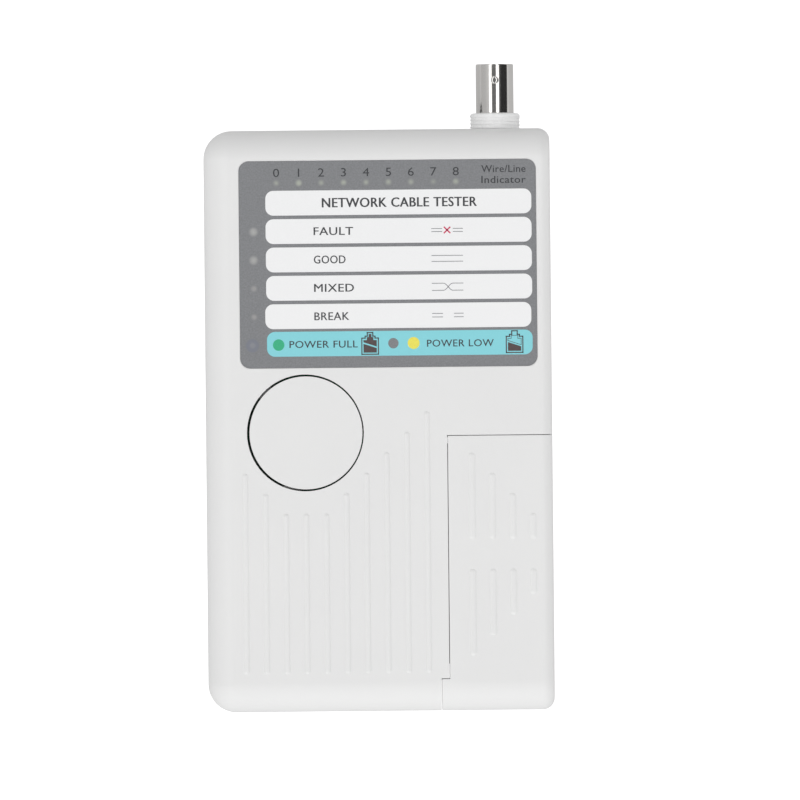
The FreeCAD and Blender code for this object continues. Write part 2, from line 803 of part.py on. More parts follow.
def make_remote_board():
    plate = padded("remote_board_plate", rectangle("remote_board_left", "remote_board_right",
                                                   "remote_board_foot", "remote_board_end"),
                   "board_thickness", "board_bottom")
    holes = board_holes("remote_board", REMOTE_CASE_SCREWS, REMOTE_BOARD_SCREWS)
    return piece("remote_board", cut("remote_board", plate, holes))


def screw_master(name, shaft, head, seat, tip, head_height):
    """A pan-head screw with a cross recess, driven in from the back."""
    blank = turned(name + "_blank", [
        ("0", f"{seat} - {head_height}"), (f"{head} * 0.7", f"{seat} - {head_height}"),
        (head, f"{seat} - {head_height} * 0.5"), (head, seat), (shaft, seat), (shaft, f"{tip} - {shaft}"),
        ("0", tip)])
    sizes = ((f"{head} * 1.2", "0.55", "1.1"), ("0.55", f"{head} * 1.2", "1.1"))
    bars = [centred_box(f"{name}_slot{number}", (0, 0, f"{seat} - {head_height}"), size)
            for number, size in enumerate(sizes)]
    return cut(name, blank, bars)


def make_screws():
    case = screw_master("case_screw", "case_screw_radius", "case_screw_head", "case_screw_seat",
                        "case_screw_tip", "1.6")
    board = screw_master("board_screw", "board_screw_radius", "board_screw_head", "board_bottom",
                         "board_screw_tip", "1.2")
    for node, master, spots in (("case_screws", case, CASE_SCREWS), ("board_screws", board, BOARD_SCREWS),
                                ("remote_case_screws", case, REMOTE_CASE_SCREWS),
                                ("remote_board_screws", board, REMOTE_BOARD_SCREWS)):
        piece(node, at_spots(node, master, [(x, y, 0) for x, y in spots]))


def make_electronics():
    """The controller and the small components on the back of the main board."""
    top = "board_bottom - 0.3"
    piece("controller_chip", centred_box("controller_chip", (0, 30, f"{top} - 1.2"), (7.5, 18, 2.4)))
    legs = []
    for index in range(14):
        y = 30 + 1.27 * (index - 6.5)
        for side in (-1, 1):
            legs.append(box(f"leg{index}_{side + 1}", (side * 4.45 - 0.65, side * 4.45 + 0.65),
                            (y - 0.2, y + 0.2), ("board_bottom - 0.4", "board_bottom")))
    piece("chip_legs", group("chip_legs", legs))
    resistors = [rod(f"resistor{index}", "1.1", (14 + 4.2 * index, 26, "board_bottom - 1.2"), "6.2", "y")
                 for index in range(5)]
    resistors += [rod(f"lower_resistor{index}", "1.1", (-20 + 4.2 * index, 24, "board_bottom - 1.2"),
                      "6.2", "y") for index in range(4)]
    piece("resistors", group("resistors", resistors))
    cans = [rod(f"capacitor{index}", "2.5", (x, y, "board_bottom - 11"), "11")
            for index, (x, y) in enumerate(((14, 14), (21, 14)))]
    piece("capacitors", group("capacitors", cans))
    piece("crystal", centred_box("crystal", (-8, 14, "board_bottom - 1.8"), (10.5, 4.2, 3.6)))
    remote = [rod(f"remote_resistor{index}", "0.9",
                  ("remote_board_left + 1.4", -38 - 5 * index, "board_bottom - 1"), "3.6", "y")
              for index in range(5)]
    piece("remote_resistors", group("remote_resistors", remote))


# ---- Sockets ----
# Each socket is drawn facing +Y with the middle of its face at the origin, then turned and moved.

TO_REAR = {"main": FreeCAD.Rotation(), "remote": FreeCAD.Rotation(FreeCAD.Vector(0, 0, 1), -90)}


def face_spot(unit, along):
    """Where the middle of a socket's face is, at the height of its lower edge."""
    if unit == "main":
        return (along, "case_length / 2 - socket_face", "0")
    return ("case_width / 2 - socket_face", along, "0")


def moved(node, item, unit, along):
    """Turn a socket piece to face out of its unit's wall and put it in place."""
    item.Placement = FreeCAD.Placement(FreeCAD.Vector(), TO_REAR[unit])
    place(item, face_spot(unit, along))
    return piece(node, item)


def jack_housing(name, width, mouth, latch, floor, roof):
    """A plastic jack: a box with a mouth for the plug and a narrower slot for its latch."""
    body = box(name + "_block", (f"-{width} / 2", f"{width} / 2"), ("-socket_depth", "0"),
               ("socket_floor", "board_bottom"))
    room = box(name + "_mouth", (-mouth / 2, mouth / 2), (-13, 1), (floor, roof))
    slot = box(name + "_latch", (-latch / 2, latch / 2), (-13, 1), (floor - 1.7, floor + 1))
    return cut(name, body, [room, slot])


def jack_contacts(name, count, roof):
    """Sprung wires that slope back from the roof of the mouth."""
    wires = []
    for index in range(count):
        x = (index - (count - 1) / 2) * SIZES["contact_pitch"]
        wire = rod(f"{name}_wire{index}", "contact_radius", (0, 0, 0), "8.6")
        wire.Placement = FreeCAD.Placement(FreeCAD.Vector(x, -2.2, roof + 0.1),
                                           FreeCAD.Rotation(FreeCAD.Vector(1, 0, 0), 110))
        place(wire, (x, "-2.2", roof + 0.1))
        wires.append(wire)
    return group(name, wires)


def flat_data_socket(name):
    """A flat metal shell with a tongue inside and four contacts under it."""
    middle = "data_middle"
    shell = cut(name + "_shell",
                centred_box(name + "_outer", (0, "-7", middle), ("data_width", 14, "data_height")),
                [centred_box(name + "_inner", (0, "-6.5", middle),
                             ("data_width - 2 * shell_sheet", 14.4, "data_height - 2 * shell_sheet"))])
    back = centred_box(name + "_back", (0, -12.2, middle),
                       ("data_width - 2 * shell_sheet - 0.1", 2.4, "data_height - 2 * shell_sheet - 0.1"))
    tongue = centred_box(name + "_tongue", (0, -6.5, "data_middle + 0.9"), (11, 11, 1.8))
    core = fuse(name + "_core", [back, tongue])
    strips = [centred_box(f"{name}_strip{index}", (2.33 * (index - 1.5), -6, "data_middle - 0.08"),
                          (1, 8.5, 0.16)) for index in range(4)]
    return shell, core, group(name + "_contacts", strips)


def square_data_socket(name):
    """A nearly square metal shell around a plastic core with a post and four contacts."""
    floor = "socket_floor + 1.2"
    half = "square_data_width / 2"
    middle = f"({floor} + board_bottom) / 2"
    shell = cut(name + "_shell",
                box(name + "_outer", (f"-{half}", half), (-16, 0), (floor, "board_bottom")),
                [box(name + "_inner", (f"-{half} + shell_sheet", f"{half} - shell_sheet"), (-15.6, 1),
                     (f"{floor} + shell_sheet", "board_bottom - shell_sheet"))])
    plug_room = cut(name + "_plug_room",
                    centred_box(name + "_mouth", (0, -4.2, middle), (9, 9.4, 8.4)),
                    [centred_box(name + "_post", (0, -5.4, middle), (5.6, 8, 3.2))])
    filler = box(name + "_filler", (f"-{half} + shell_sheet + 0.05", f"{half} - shell_sheet - 0.05"),
                 (-15.5, -0.4), (f"{floor} + shell_sheet + 0.05", "board_bottom - shell_sheet - 0.05"))
    core = cut(name + "_core", filler, [plug_room])
    strips = [centred_box(f"{name}_strip{index}_{side + 1}",
                          (1.25 * (2 * index - 1), -5.4, f"{middle} + {side} * 1.68"), (1, 6.5, 0.16))
              for index in range(2) for side in (-1, 1)]
    return shell, core, group(name + "_contacts", strips)


def make_sockets():
    for unit, prefix in (("main", ""), ("remote", "remote_")):
        lan = "lan_left" if unit == "main" else "remote_lan_height"
        phone = "phone_left" if unit == "main" else "remote_phone_height"
        data = "data_left" if unit == "main" else "remote_data_height"
        moved(prefix + "lan_socket",
              jack_housing(prefix + "lan_socket", "lan_width", 12.0, 6.4, 5.6, 13.9), unit, lan)
        moved(prefix + "lan_contacts", jack_contacts(prefix + "lan_contacts", 8, 13.9), unit, lan)
        moved(prefix + "phone_socket",
              jack_housing(prefix + "phone_socket", "phone_width", 9.9, 5.6, 6.2, 13.5), unit, phone)
        moved(prefix + "phone_contacts", jack_contacts(prefix + "phone_contacts", 6, 13.5), unit, phone)
        build = flat_data_socket if unit == "main" else square_data_socket
        shell, core, contacts = build(prefix + "data_socket")
        moved(prefix + "data_socket_shell", shell, unit, data)
        moved(prefix + "data_socket_core", core, unit, data)
        moved(prefix + "data_contacts", contacts, unit, data)


# ---- Coaxial jack ----
# It is drawn along +Y from the outer face of the case, then moved to its place in the top wall.

def coax_place(item):
    place(item, ("coax_left", "case_length / 2", "coax_middle"))
    return item


def make_coax_jack():
    """A plastic block and threaded nose, a metal barrel with two lugs, and the parts inside it."""
    profile = [("barrel_radius", "-wall - 4"), ("nose_radius", "-wall - 4"), ("nose_radius", "0.2")]
    for index in range(3):
        profile.append(("nose_root", f"0.2 + {index} * thread_pitch + 0.35 * thread_pitch"))
        profile.append(("nose_radius", f"0.2 + {index + 1} * thread_pitch"))
    profile += [("nose_radius", "nose_length - 0.7"), ("nose_radius - 0.7", "nose_length"),
                ("barrel_radius", "nose_length")]
    nose = turned("coax_nose", profile, "XY_Plane")
    block = cut("coax_block", box("coax_block_outer", (-7.3, 7.3), (-15, "-wall - 0.2"),
                                  ("socket_floor - coax_middle", "board_bottom - coax_middle")),
                [rod("coax_block_bore", "barrel_radius", (0, -12, 0), "20", "y")])
    piece("coax_jack_body", coax_place(fuse("coax_jack_body", [nose, block])))
    tube = turned("barrel_tube", [
        ("2.6", "-10"), ("barrel_radius - 0.05", "-10"), ("barrel_radius - 0.05", "nose_length"),
        ("barrel_radius", "nose_length + 0.02"), ("barrel_radius", "barrel_reach - 0.3"),
        ("barrel_radius - 0.3", "barrel_reach"), ("barrel_bore + 0.25", "barrel_reach"),
        ("barrel_bore", "barrel_reach - 0.25"), ("barrel_bore", "nose_length + 1.5"),
        ("2.6", "nose_length + 1.5")], "XY_Plane")
    lugs = [rod(f"lug{index}", "lug_radius", (0, "lug_height", z), "lug_reach - barrel_bore - 0.2")
            for index, z in enumerate(("barrel_bore + 0.2", "-lug_reach"))]
    piece("coax_barrel", coax_place(fuse("coax_barrel", [tube] + lugs)))
    insulator = turned("coax_insulator_body", [
        ("0.8", "-9"), ("2.4", "-9"), ("2.4", "barrel_reach - 2"), ("1.2", "barrel_reach - 2"),
        ("1.2", "barrel_reach - 5"), ("0.8", "barrel_reach - 5")], "XY_Plane")
    piece("coax_insulator", coax_place(insulator))
    contact = turned("coax_contact_body", [
        ("0", "-11"), ("0.7", "-11"), ("0.7", "barrel_reach - 2.4"), ("0.45", "barrel_reach - 2.2"),
        ("0.45", "barrel_reach - 7"), ("0", "barrel_reach - 7")], "XY_Plane")
    piece("coax_centre_contact", coax_place(contact))


# ---- Battery and its leads ----

def make_battery():
    middle = "battery_bottom + battery_thickness / 2"
    block = box("battery_box",
                ("battery_middle - battery_width / 2", "battery_middle + battery_width / 2"),
                ("battery_foot", "battery_top"),
                ("battery_bottom", "battery_bottom + battery_thickness"))
    doc.recompute()
    rounded = doc.addObject("Part::Fillet", "battery_block")
    rounded.Base = block
    rounded.Edges = [(number, 1.5, 1.5) for number, edge in enumerate(block.Shape.Edges, start=1)
                     if edge.BoundBox.YLength > 1]
    piece("battery_block", rounded)
    posts = [rod(f"battery_post{index}", radius,
                 (f"battery_middle {sign} post_spread / 2", "battery_top", middle),
                 "post_height - 0.05", "y")
             for index, (radius, sign) in enumerate((("2.9", "-"), ("4.3", "+")))]
    piece("battery_terminals", group("battery_terminals", posts))
    snap = box("battery_snap_box", ("battery_middle - 12.5", "battery_middle + 12.5"),
               ("battery_top + post_height", "lead_start"), (f"{middle} - 6", f"{middle} + 6"))
    piece("battery_snap", snap)


def lead_path(x):
    """Out of the snap along Y, round one bend and up to the back of the board."""
    height = SIZES["lead_height"]
    bend = SIZES["lead_bend"]
    end = SIZES["lead_end"]
    start = FreeCAD.Vector(x, SIZES["lead_start"], height)
    bend_start = FreeCAD.Vector(x, end - bend, height)
    short = bend * (1 - math.sqrt(0.5))
    bend_middle = FreeCAD.Vector(x, end - short, height + short)
    bend_end = FreeCAD.Vector(x, end, height + bend)
    pad = FreeCAD.Vector(x, end, SIZES["board_bottom"])
    edges = [Part.LineSegment(start, bend_start).toShape(),
             Part.Arc(bend_start, bend_middle, bend_end).toShape(),
             Part.LineSegment(bend_end, pad).toShape()]
    return Part.Wire(edges)


def make_leads():
    radius = SIZES["lead_radius"]
    for node, x in (("battery_lead_red", -16.5), ("battery_lead_black", -9.5)):
        path = lead_path(x)
        start = FreeCAD.Vector(x, SIZES["lead_start"], SIZES["lead_height"])
        section = Part.Wire(Part.makeCircle(radius, start, FreeCAD.Vector(0, 1, 0)))
        item = doc.addObject("Part::Feature", node)
        item.Shape = path.makePipeShell([section], True, False).Solids[0]
        piece(node, item)
        share = item.Shape.Volume / (math.pi * radius ** 2 * path.Length)
        print(f"{node}: length {path.Length:.1f}, bend radius {SIZES['lead_bend']},"
              f" volume share {share:.3f}")


# ---- Check and export ----

def check_document():
    """Stop if any object failed or any sub-part is empty or invalid."""
    failed = [item.Name for item in doc.Objects if "Invalid" in item.State or "Error" in item.State]
    if failed:
        raise RuntimeError("failed objects: " + ", ".join(failed))
    for item in pieces:
        if item.Shape.isNull() or not item.Shape.isValid() or not item.Shape.Solids:
            raise RuntimeError("bad shape: " + item.Label)


def export_pieces():
    os.makedirs("parts", exist_ok=True)
    for item in pieces:
        item.Shape.exportStep(f"parts/{item.Label}.step")
        print(f"{item.Label}: {len(item.Shape.Solids)} solids, {item.Shape.Volume:.1f} mm3")
    print(len(pieces), "sub-parts")


def main():
    make_sheet()
    block = case_block("case_outside", "0")
    core = case_block("case_inside", "wall")
    make_front_shell(block, core)
    make_rear_shell(block, core)
    make_battery_door(block)
    make_remote_front_shell(block, core)
    make_remote_rear_shell(block, core)
    make_front_label()
    lead_spots = make_lamps()
    make_main_board(lead_spots)
    make_remote_board()
    make_button()
    make_switch()
    make_screws()
    make_electronics()
    make_sockets()
    make_coax_jack()
    make_battery()
    make_leads()
    doc.recompute()
    check_document()
    export_pieces()


main()
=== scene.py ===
# %% [markdown]
# # A cable tester, from bare frame to finished object
#
# The maker's drawing gives us every shell, board, socket and screw as a plain solid. This lesson dresses
# them: it softens moulded edges, lathes the metal jack, prints the panel and gives each material its own
# finish. The drawing stays in charge of every size, so places are read from it and never typed again.

# %% Load the frame
import bmesh
import bpy
import json
import math
from mathutils import Matrix, Vector


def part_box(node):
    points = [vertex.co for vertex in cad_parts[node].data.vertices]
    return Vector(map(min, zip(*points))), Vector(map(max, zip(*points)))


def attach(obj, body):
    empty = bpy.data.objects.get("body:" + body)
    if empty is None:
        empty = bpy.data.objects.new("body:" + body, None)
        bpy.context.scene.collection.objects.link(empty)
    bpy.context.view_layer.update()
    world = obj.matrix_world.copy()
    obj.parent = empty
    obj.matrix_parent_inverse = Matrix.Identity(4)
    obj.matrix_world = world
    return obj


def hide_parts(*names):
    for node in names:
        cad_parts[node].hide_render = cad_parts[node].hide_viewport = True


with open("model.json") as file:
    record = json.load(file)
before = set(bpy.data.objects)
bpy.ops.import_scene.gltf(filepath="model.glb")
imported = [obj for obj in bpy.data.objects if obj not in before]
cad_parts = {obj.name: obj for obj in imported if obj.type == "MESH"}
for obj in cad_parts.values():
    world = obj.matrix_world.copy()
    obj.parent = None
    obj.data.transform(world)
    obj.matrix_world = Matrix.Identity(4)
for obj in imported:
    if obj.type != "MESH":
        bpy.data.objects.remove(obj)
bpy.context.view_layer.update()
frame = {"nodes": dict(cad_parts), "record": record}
MM = 0.001

# %% [markdown]
# ## The camera and the light
#
# The tester lies on a white table and is seen from straight above through a long lens, which keeps its
# sides square. A real studio for such a picture is a white tent: light comes from everywhere, a little more
# of it from the foot of the table. What metal mirrors is the tent's inside: a long bright strip on each side
# of the lens and a dark gap to the right. A world shader that reads only the direction of the light is the
# simplest tent there is. It gives matt surfaces the even cloth, and mirrors the strips. The camera itself
# sees plain white behind everything.

# %% Camera
LENS_HEIGHT = 4.0
PICTURE_WIDTH = 203.0 * MM
SENSOR = 36.0
PICTURE_MIDDLE = (5.39 * MM, 5.12 * MM)
PICTURE_TURN = math.radians(-0.56)


def make_camera(front_face):
    data = bpy.data.cameras.new("camera")
    data.sensor_width = SENSOR
    data.lens = SENSOR * LENS_HEIGHT / PICTURE_WIDTH
    camera = bpy.data.objects.new("camera", data)
    camera.location = (PICTURE_MIDDLE[0], PICTURE_MIDDLE[1], front_face + LENS_HEIGHT)
    camera.rotation_euler = (0, 0, PICTURE_TURN)
    bpy.context.scene.collection.objects.link(camera)
    bpy.context.scene.camera = camera
    return camera


face_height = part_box("button_cap")[1].z
camera = make_camera(face_height)
bpy.context.scene.view_settings.view_transform = "Standard"
print("lens", round(camera.data.lens), "mm")

# %% Tools for node trees


def feed(tree, value, socket):
    """Set an input to a value, or join it to a node or to one socket of a node."""
    if isinstance(value, bpy.types.Node):
        value = next(output for output in value.outputs if output.enabled)
    if isinstance(value, bpy.types.NodeSocket):
        tree.links.new(value, socket)
    else:
        socket.default_value = value


def set_up(tree, node, **named):
    """Fill a node's properties and inputs by name."""
    for name, value in named.items():
        if hasattr(node, name):
            setattr(node, name, value)
        else:
            feed(tree, value, node.inputs[name.replace("_", " ")])


def add_node(tree, kind, *values, **named):
    """Add a node, with values for its inputs in order or by name."""
    node = tree.nodes.new(kind)
    set_up(tree, node, **named)
    for value, socket in zip(values, node.inputs):
        feed(tree, value, socket)
    return node


def maths(tree, operation, *values):
    return add_node(tree, "ShaderNodeMath", *values, operation=operation)


def ramp_stops(node, stops):
    """Fill a colour ramp from (place, grey or colour) pairs."""
    elements = node.color_ramp.elements
    while len(elements) > 1:
        elements.remove(elements[-1])
    for number, (place, colour) in enumerate(stops):
        element = elements[0] if number == 0 else elements.new(place)
        element.position = place
        element.color = tuple(colour) + (1,) if hasattr(colour, "__len__") else (colour, colour, colour, 1)


# %% The light tent
TENT_STRIPS = [
    # angle from straight up towards the right, in degrees, and brightness
    (-180, 0.60), (-100, 0.52), (-60, 0.56), (-38, 0.68), (-34, 0.8), (-32, 2.2), (-20, 2.2), (-18, 0.4),
    (-16, 0.17), (6, 0.17), (9, 0.4), (11, 2.2), (24, 2.2), (26, 0.3), (32, 0.1), (40, 0.03),
    (81, 0.03), (84, 0.6), (90, 0.95), (98, 0.95), (102, 0.55), (179, 0.6),
]
TENT_LEVEL = 0.98
LOW_LIGHT = 0.928
TOP_LIGHT = 0.13
SIDE_LIGHT = -0.06
FOOT_LIGHT = 0.42
WHITE = (1, 1, 1, 1)


def make_tent():
    world = bpy.data.worlds.new("light_tent")
    bpy.context.scene.world = world
    world.use_nodes = True
    tree = world.node_tree
    tree.nodes.clear()
    direction = add_node(tree, "ShaderNodeTexCoord").outputs["Generated"]
    split = add_node(tree, "ShaderNodeSeparateXYZ", direction)
    angle = maths(tree, "ARCTAN2", split.outputs["X"], split.outputs["Z"])
    strips = add_node(tree, "ShaderNodeValToRGB", maths(tree, "MULTIPLY_ADD", angle, 0.5 / math.pi, 0.5))
    ramp_stops(strips, [((degrees + 180) / 360, level) for degrees, level in TENT_STRIPS])
    cloth = LOW_LIGHT * TENT_LEVEL
    for axis, light in (("Z", TOP_LIGHT), ("X", SIDE_LIGHT), ("Y", -FOOT_LIGHT)):
        cloth = maths(tree, "MULTIPLY_ADD", split.outputs[axis], light * TENT_LEVEL, cloth)
    rays = add_node(tree, "ShaderNodeLightPath")
    inside = add_node(tree, "ShaderNodeMix", data_type="RGBA", Factor=rays.outputs["Is Glossy Ray"],
                      A=cloth, B=strips)
    backdrop = add_node(tree, "ShaderNodeMix", data_type="RGBA", Factor=rays.outputs["Is Camera Ray"],
                        A=inside, B=WHITE)
    add_node(tree, "ShaderNodeOutputWorld", add_node(tree, "ShaderNodeBackground", backdrop))


make_tent()
print("tent with", len(TENT_STRIPS), "stops")

# %% [markdown]
# ## The table
#
# The table is a plain white sheet with light behind it, which is how a catalogue picture loses its shadows.
# The full glow is only for the camera. To the object the sheet is a quiet grey-white, so that the light from
# below doesn't flood its sides. It lies a hair below the tester, so the two never share a plane. From
# underneath the sheet is clear, so the back of the tester can be seen.

# %% Table
TABLE_GLOW = 0.33
CAMERA_GLOW = 0.65
TABLE_WHITE = 0.3
TABLE_HALF = 1.5
TABLE_DROP = -0.02 * MM


def new_material(name):
    """A new material with its tree and its shader, ready for textures."""
    material = bpy.data.materials.new(name)
    material.use_nodes = True
    tree = material.node_tree
    return material, tree, tree.nodes["Principled BSDF"]


def table_finish():
    material, tree, shader = new_material("table_white")
    rays = add_node(tree, "ShaderNodeLightPath")
    glow = maths(tree, "MULTIPLY_ADD", rays.outputs["Is Camera Ray"], CAMERA_GLOW, TABLE_GLOW)
    set_up(tree, shader, Base_Color=(TABLE_WHITE, TABLE_WHITE, TABLE_WHITE, 1), Roughness=0.9,
           Specular_IOR_Level=0.1, Emission_Color=WHITE, Emission_Strength=glow)
    from_below = add_node(tree, "ShaderNodeNewGeometry").outputs["Backfacing"]
    clear = add_node(tree, "ShaderNodeBsdfTransparent")
    blend = add_node(tree, "ShaderNodeMixShader", from_below, shader, clear)
    feed(tree, blend, tree.nodes["Material Output"].inputs["Surface"])
    return material


def make_table():
    mesh = bpy.data.meshes.new("table")
    corners = [(x * TABLE_HALF, y * TABLE_HALF, TABLE_DROP) for x, y in ((-1, -1), (1, -1), (1, 1), (-1, 1))]
    mesh.from_pydata(corners, [], [(0, 1, 2, 3)])
    mesh.materials.append(table_finish())
    table = bpy.data.objects.new("table", mesh)
    bpy.context.scene.collection.objects.link(table)
    return table


table = make_table()

# %% [markdown]
# ## Finishes
#
# Moulded plastic is never quite one colour. The mould is spark-eroded, so its surface has a fine grain that
# breaks up the gloss, and the plastic itself clouds a little over some centimetres. Both are noise
# textures on Object coordinates, so a pattern keeps its real size on every piece. The grain goes to the
# bump and the roughness, and the clouding to the colour.

# %% Moulded plastic
CLOUDS = 45
NOISE_LOW, NOISE_HIGH = 0.3, 0.7


def object_place(tree):
    return add_node(tree, "ShaderNodeTexCoord").outputs["Object"]


def noise(tree, scale, detail=2.0, squeeze=None):
    """Noise of a real size: scale is in features for each metre."""
    place = object_place(tree)
    if squeeze:
        place = add_node(tree, "ShaderNodeMapping", place, Scale=squeeze)
    return add_node(tree, "ShaderNodeTexNoise", Vector=place, Scale=scale, Detail=detail).outputs["Fac"]


def tinted(tree, shader, source, dark, light):
    """Colour between two tones that follows a texture."""
    tone = add_node(tree, "ShaderNodeMix", data_type="RGBA", Factor=source,
                    A=tuple(dark) + (1,), B=tuple(light) + (1,))
    set_up(tree, shader, Base_Color=tone)


def roughened(tree, shader, source, low, high):
    """Roughness that follows a noise between two limits."""
    spread = add_node(tree, "ShaderNodeMapRange", Value=source, From_Min=NOISE_LOW, From_Max=NOISE_HIGH,
                      To_Min=low, To_Max=high)
    set_up(tree, shader, Roughness=spread)


def bumped(tree, shader, source, depth, strength=1.0):
    bump = add_node(tree, "ShaderNodeBump", Height=source, Distance=depth, Strength=strength)
    set_up(tree, shader, Normal=bump)


def moulded_plastic(name, dark, light, gloss=(0.38, 0.5), grain=2600, depth=0.006 * MM):
    material, tree, shader = new_material(name)
    tinted(tree, shader, noise(tree, CLOUDS, 3), dark, light)
    fine = noise(tree, grain, 3)
    roughened(tree, shader, fine, *gloss)
    bumped(tree, shader, fine, depth)
    return material


case_white = moulded_plastic("case_white", (0.775, 0.775, 0.775), (0.805, 0.805, 0.80))
nose_white = moulded_plastic("nose_white", (0.93, 0.93, 0.93), (0.96, 0.96, 0.96), (0.25, 0.34), 1500)
socket_black = moulded_plastic("socket_black", (0.018, 0.018, 0.019), (0.03, 0.03, 0.031), (0.4, 0.55))
switch_black = moulded_plastic("switch_black", (0.02, 0.02, 0.02), (0.035, 0.035, 0.035), (0.35, 0.45))
chip_black = moulded_plastic("chip_black", (0.018, 0.018, 0.018), (0.035, 0.034, 0.033), (0.55, 0.7), 4200)
snap_black = moulded_plastic("snap_black", (0.015, 0.015, 0.015), (0.03, 0.03, 0.03), (0.5, 0.62), 1800)
insulator_white = moulded_plastic("insulator_white", (0.78, 0.77, 0.74), (0.84, 0.83, 0.81), (0.3, 0.42),
                                  1800)
print("moulded finishes made")

# %% [markdown]
# Plated metal is a mirror with faults. Turned parts keep hair-fine rings from the lathe tool, so the noise
# is squeezed along the turning axis. Flat sheet and wire take an even, softer noise.

# %% Metals
TARNISH = 120


def plated_metal(name, dark, light, gloss, squeeze=None, grain=900, depth=0.0015 * MM):
    material, tree, shader = new_material(name)
    set_up(tree, shader, Metallic=1.0)
    tinted(tree, shader, noise(tree, TARNISH), dark, light)
    fine = noise(tree, grain, 4, squeeze)
    roughened(tree, shader, fine, *gloss)
    bumped(tree, shader, fine, depth)
    return material


turned_nickel = plated_metal("turned_nickel", (0.70, 0.68, 0.66), (0.78, 0.77, 0.755), (0.07, 0.16),
                             (0.35, 6, 0.35), 1100, 0.001 * MM)
sheet_nickel = plated_metal("sheet_nickel", (0.66, 0.65, 0.63), (0.78, 0.77, 0.75), (0.16, 0.3))
zinc_steel = plated_metal("zinc_steel", (0.50, 0.50, 0.50), (0.66, 0.66, 0.65), (0.26, 0.42))
bright_tin = plated_metal("bright_tin", (0.70, 0.70, 0.69), (0.80, 0.80, 0.79), (0.22, 0.36))
spring_steel = plated_metal("spring_steel", (0.42, 0.42, 0.43), (0.55, 0.55, 0.56), (0.2, 0.34))
contact_gold = plated_metal("contact_gold", (0.80, 0.58, 0.24), (0.90, 0.70, 0.36), (0.14, 0.26))
print("metal finishes made")

# %% [markdown]
# The boards are green lacquer over copper. Copper tracks show through as slightly lighter lines, which a
# brick pattern gives cheaply: long bricks with thin joints look like rows of parallel tracks.

# %% Board, lamps and small components

def board_lacquer():
    material, tree, shader = new_material("board_lacquer")
    tracks = add_node(tree, "ShaderNodeTexBrick", object_place(tree), Scale=55, Mortar_Size=0.012,
                      Color1=(0.012, 0.11, 0.05, 1), Color2=(0.014, 0.125, 0.055, 1),
                      Mortar=(0.03, 0.22, 0.09, 1))
    set_up(tree, shader, Base_Color=tracks.outputs["Color"])
    roughened(tree, shader, noise(tree, 900), 0.25, 0.4)
    bumped(tree, shader, tracks.outputs["Fac"], 0.02 * MM, 0.4)
    return material


def lamp_resin(name, dark, light):
    """Tinted epoxy: the light goes some way in before it comes back."""
    material = moulded_plastic(name, dark, light, (0.12, 0.2), 1200, 0.002 * MM)
    tree = material.node_tree
    set_up(tree, tree.nodes["Principled BSDF"], Subsurface_Weight=0.5, Subsurface_Scale=1.0 * MM)
    return material


def banded(name, ground, bands, axis, spacing):
    """A glossy body with painted rings, such as a resistor's colour code."""
    material, tree, shader = new_material(name)
    rings = add_node(tree, "ShaderNodeTexWave", object_place(tree), bands_direction=axis, Scale=spacing,
                     Distortion=0.0)
    ramp = add_node(tree, "ShaderNodeValToRGB", rings.outputs["Fac"])
    ramp_stops(ramp, [(0.0, ground), (0.72, ground), (0.78, bands), (1.0, bands)])
    set_up(tree, shader, Base_Color=ramp)
    fine = noise(tree, 1500)
    roughened(tree, shader, fine, 0.28, 0.4)
    bumped(tree, shader, fine, 0.004 * MM)
    return material


board_green = board_lacquer()
lamp_green = lamp_resin("lamp_green", (0.30, 0.62, 0.36), (0.42, 0.72, 0.46))
lamp_red = lamp_resin("lamp_red", (0.62, 0.20, 0.18), (0.75, 0.30, 0.26))
resistor_tan = banded("resistor_tan", (0.55, 0.40, 0.22), (0.35, 0.06, 0.03), "Y", 260)
capacitor_sleeve = banded("capacitor_sleeve", (0.012, 0.02, 0.06), (0.45, 0.46, 0.5), "X", 60)
battery_jacket = banded("battery_jacket", (0.02, 0.022, 0.028), (0.50, 0.32, 0.07), "Y", 5.2)
lead_red_skin = moulded_plastic("lead_red_skin", (0.42, 0.02, 0.015), (0.55, 0.03, 0.025), (0.3, 0.42))
lead_black_skin = moulded_plastic("lead_black_skin", (0.012, 0.012, 0.012), (0.02, 0.02, 0.02), (0.3, 0.42))
print("small component finishes made")

# %% [markdown]
# The panel is a printed film. Ink is laid down through a screen, so each colour has a faint regular dot and
# a soft satin sheen. Inks differ only in colour, so one function makes them all.

# %% Printed film and inks

def screen_print(name, colour, spread=0.10):
    """Ink on film: a speckled colour, with the fine dots of the screen in its surface."""
    material, tree, shader = new_material(name)
    dark = [channel * (1 - spread) for channel in colour]
    light = [min(channel * (1 + spread), 1) for channel in colour]
    tinted(tree, shader, noise(tree, 2400), dark, light)
    dots = add_node(tree, "ShaderNodeTexVoronoi", object_place(tree), Scale=5200, Randomness=0.15)
    bumped(tree, shader, dots.outputs["Distance"], 0.002 * MM, 0.6)
    roughened(tree, shader, noise(tree, 700), 0.42, 0.52)
    return material


FILM = (0.213, 0.218, 0.228)
film_grey = screen_print("film_grey", FILM, 0.26)
ink_white = screen_print("ink_white", (0.875, 0.877, 0.882), 0.02)
ink_teal = screen_print("ink_teal", (0.24, 0.655, 0.72), 0.03)
ink_dark = screen_print("ink_dark", (0.045, 0.047, 0.052))
ink_line = screen_print("ink_line", (0.12, 0.12, 0.14))
ink_red = screen_print("ink_red", (0.62, 0.045, 0.12))
ink_green = screen_print("ink_green", (0.035, 0.44, 0.225))
ink_yellow = screen_print("ink_yellow", (0.84, 0.76, 0.10))
ink_brown = screen_print("ink_brown", (0.085, 0.06, 0.06))
print("inks made")

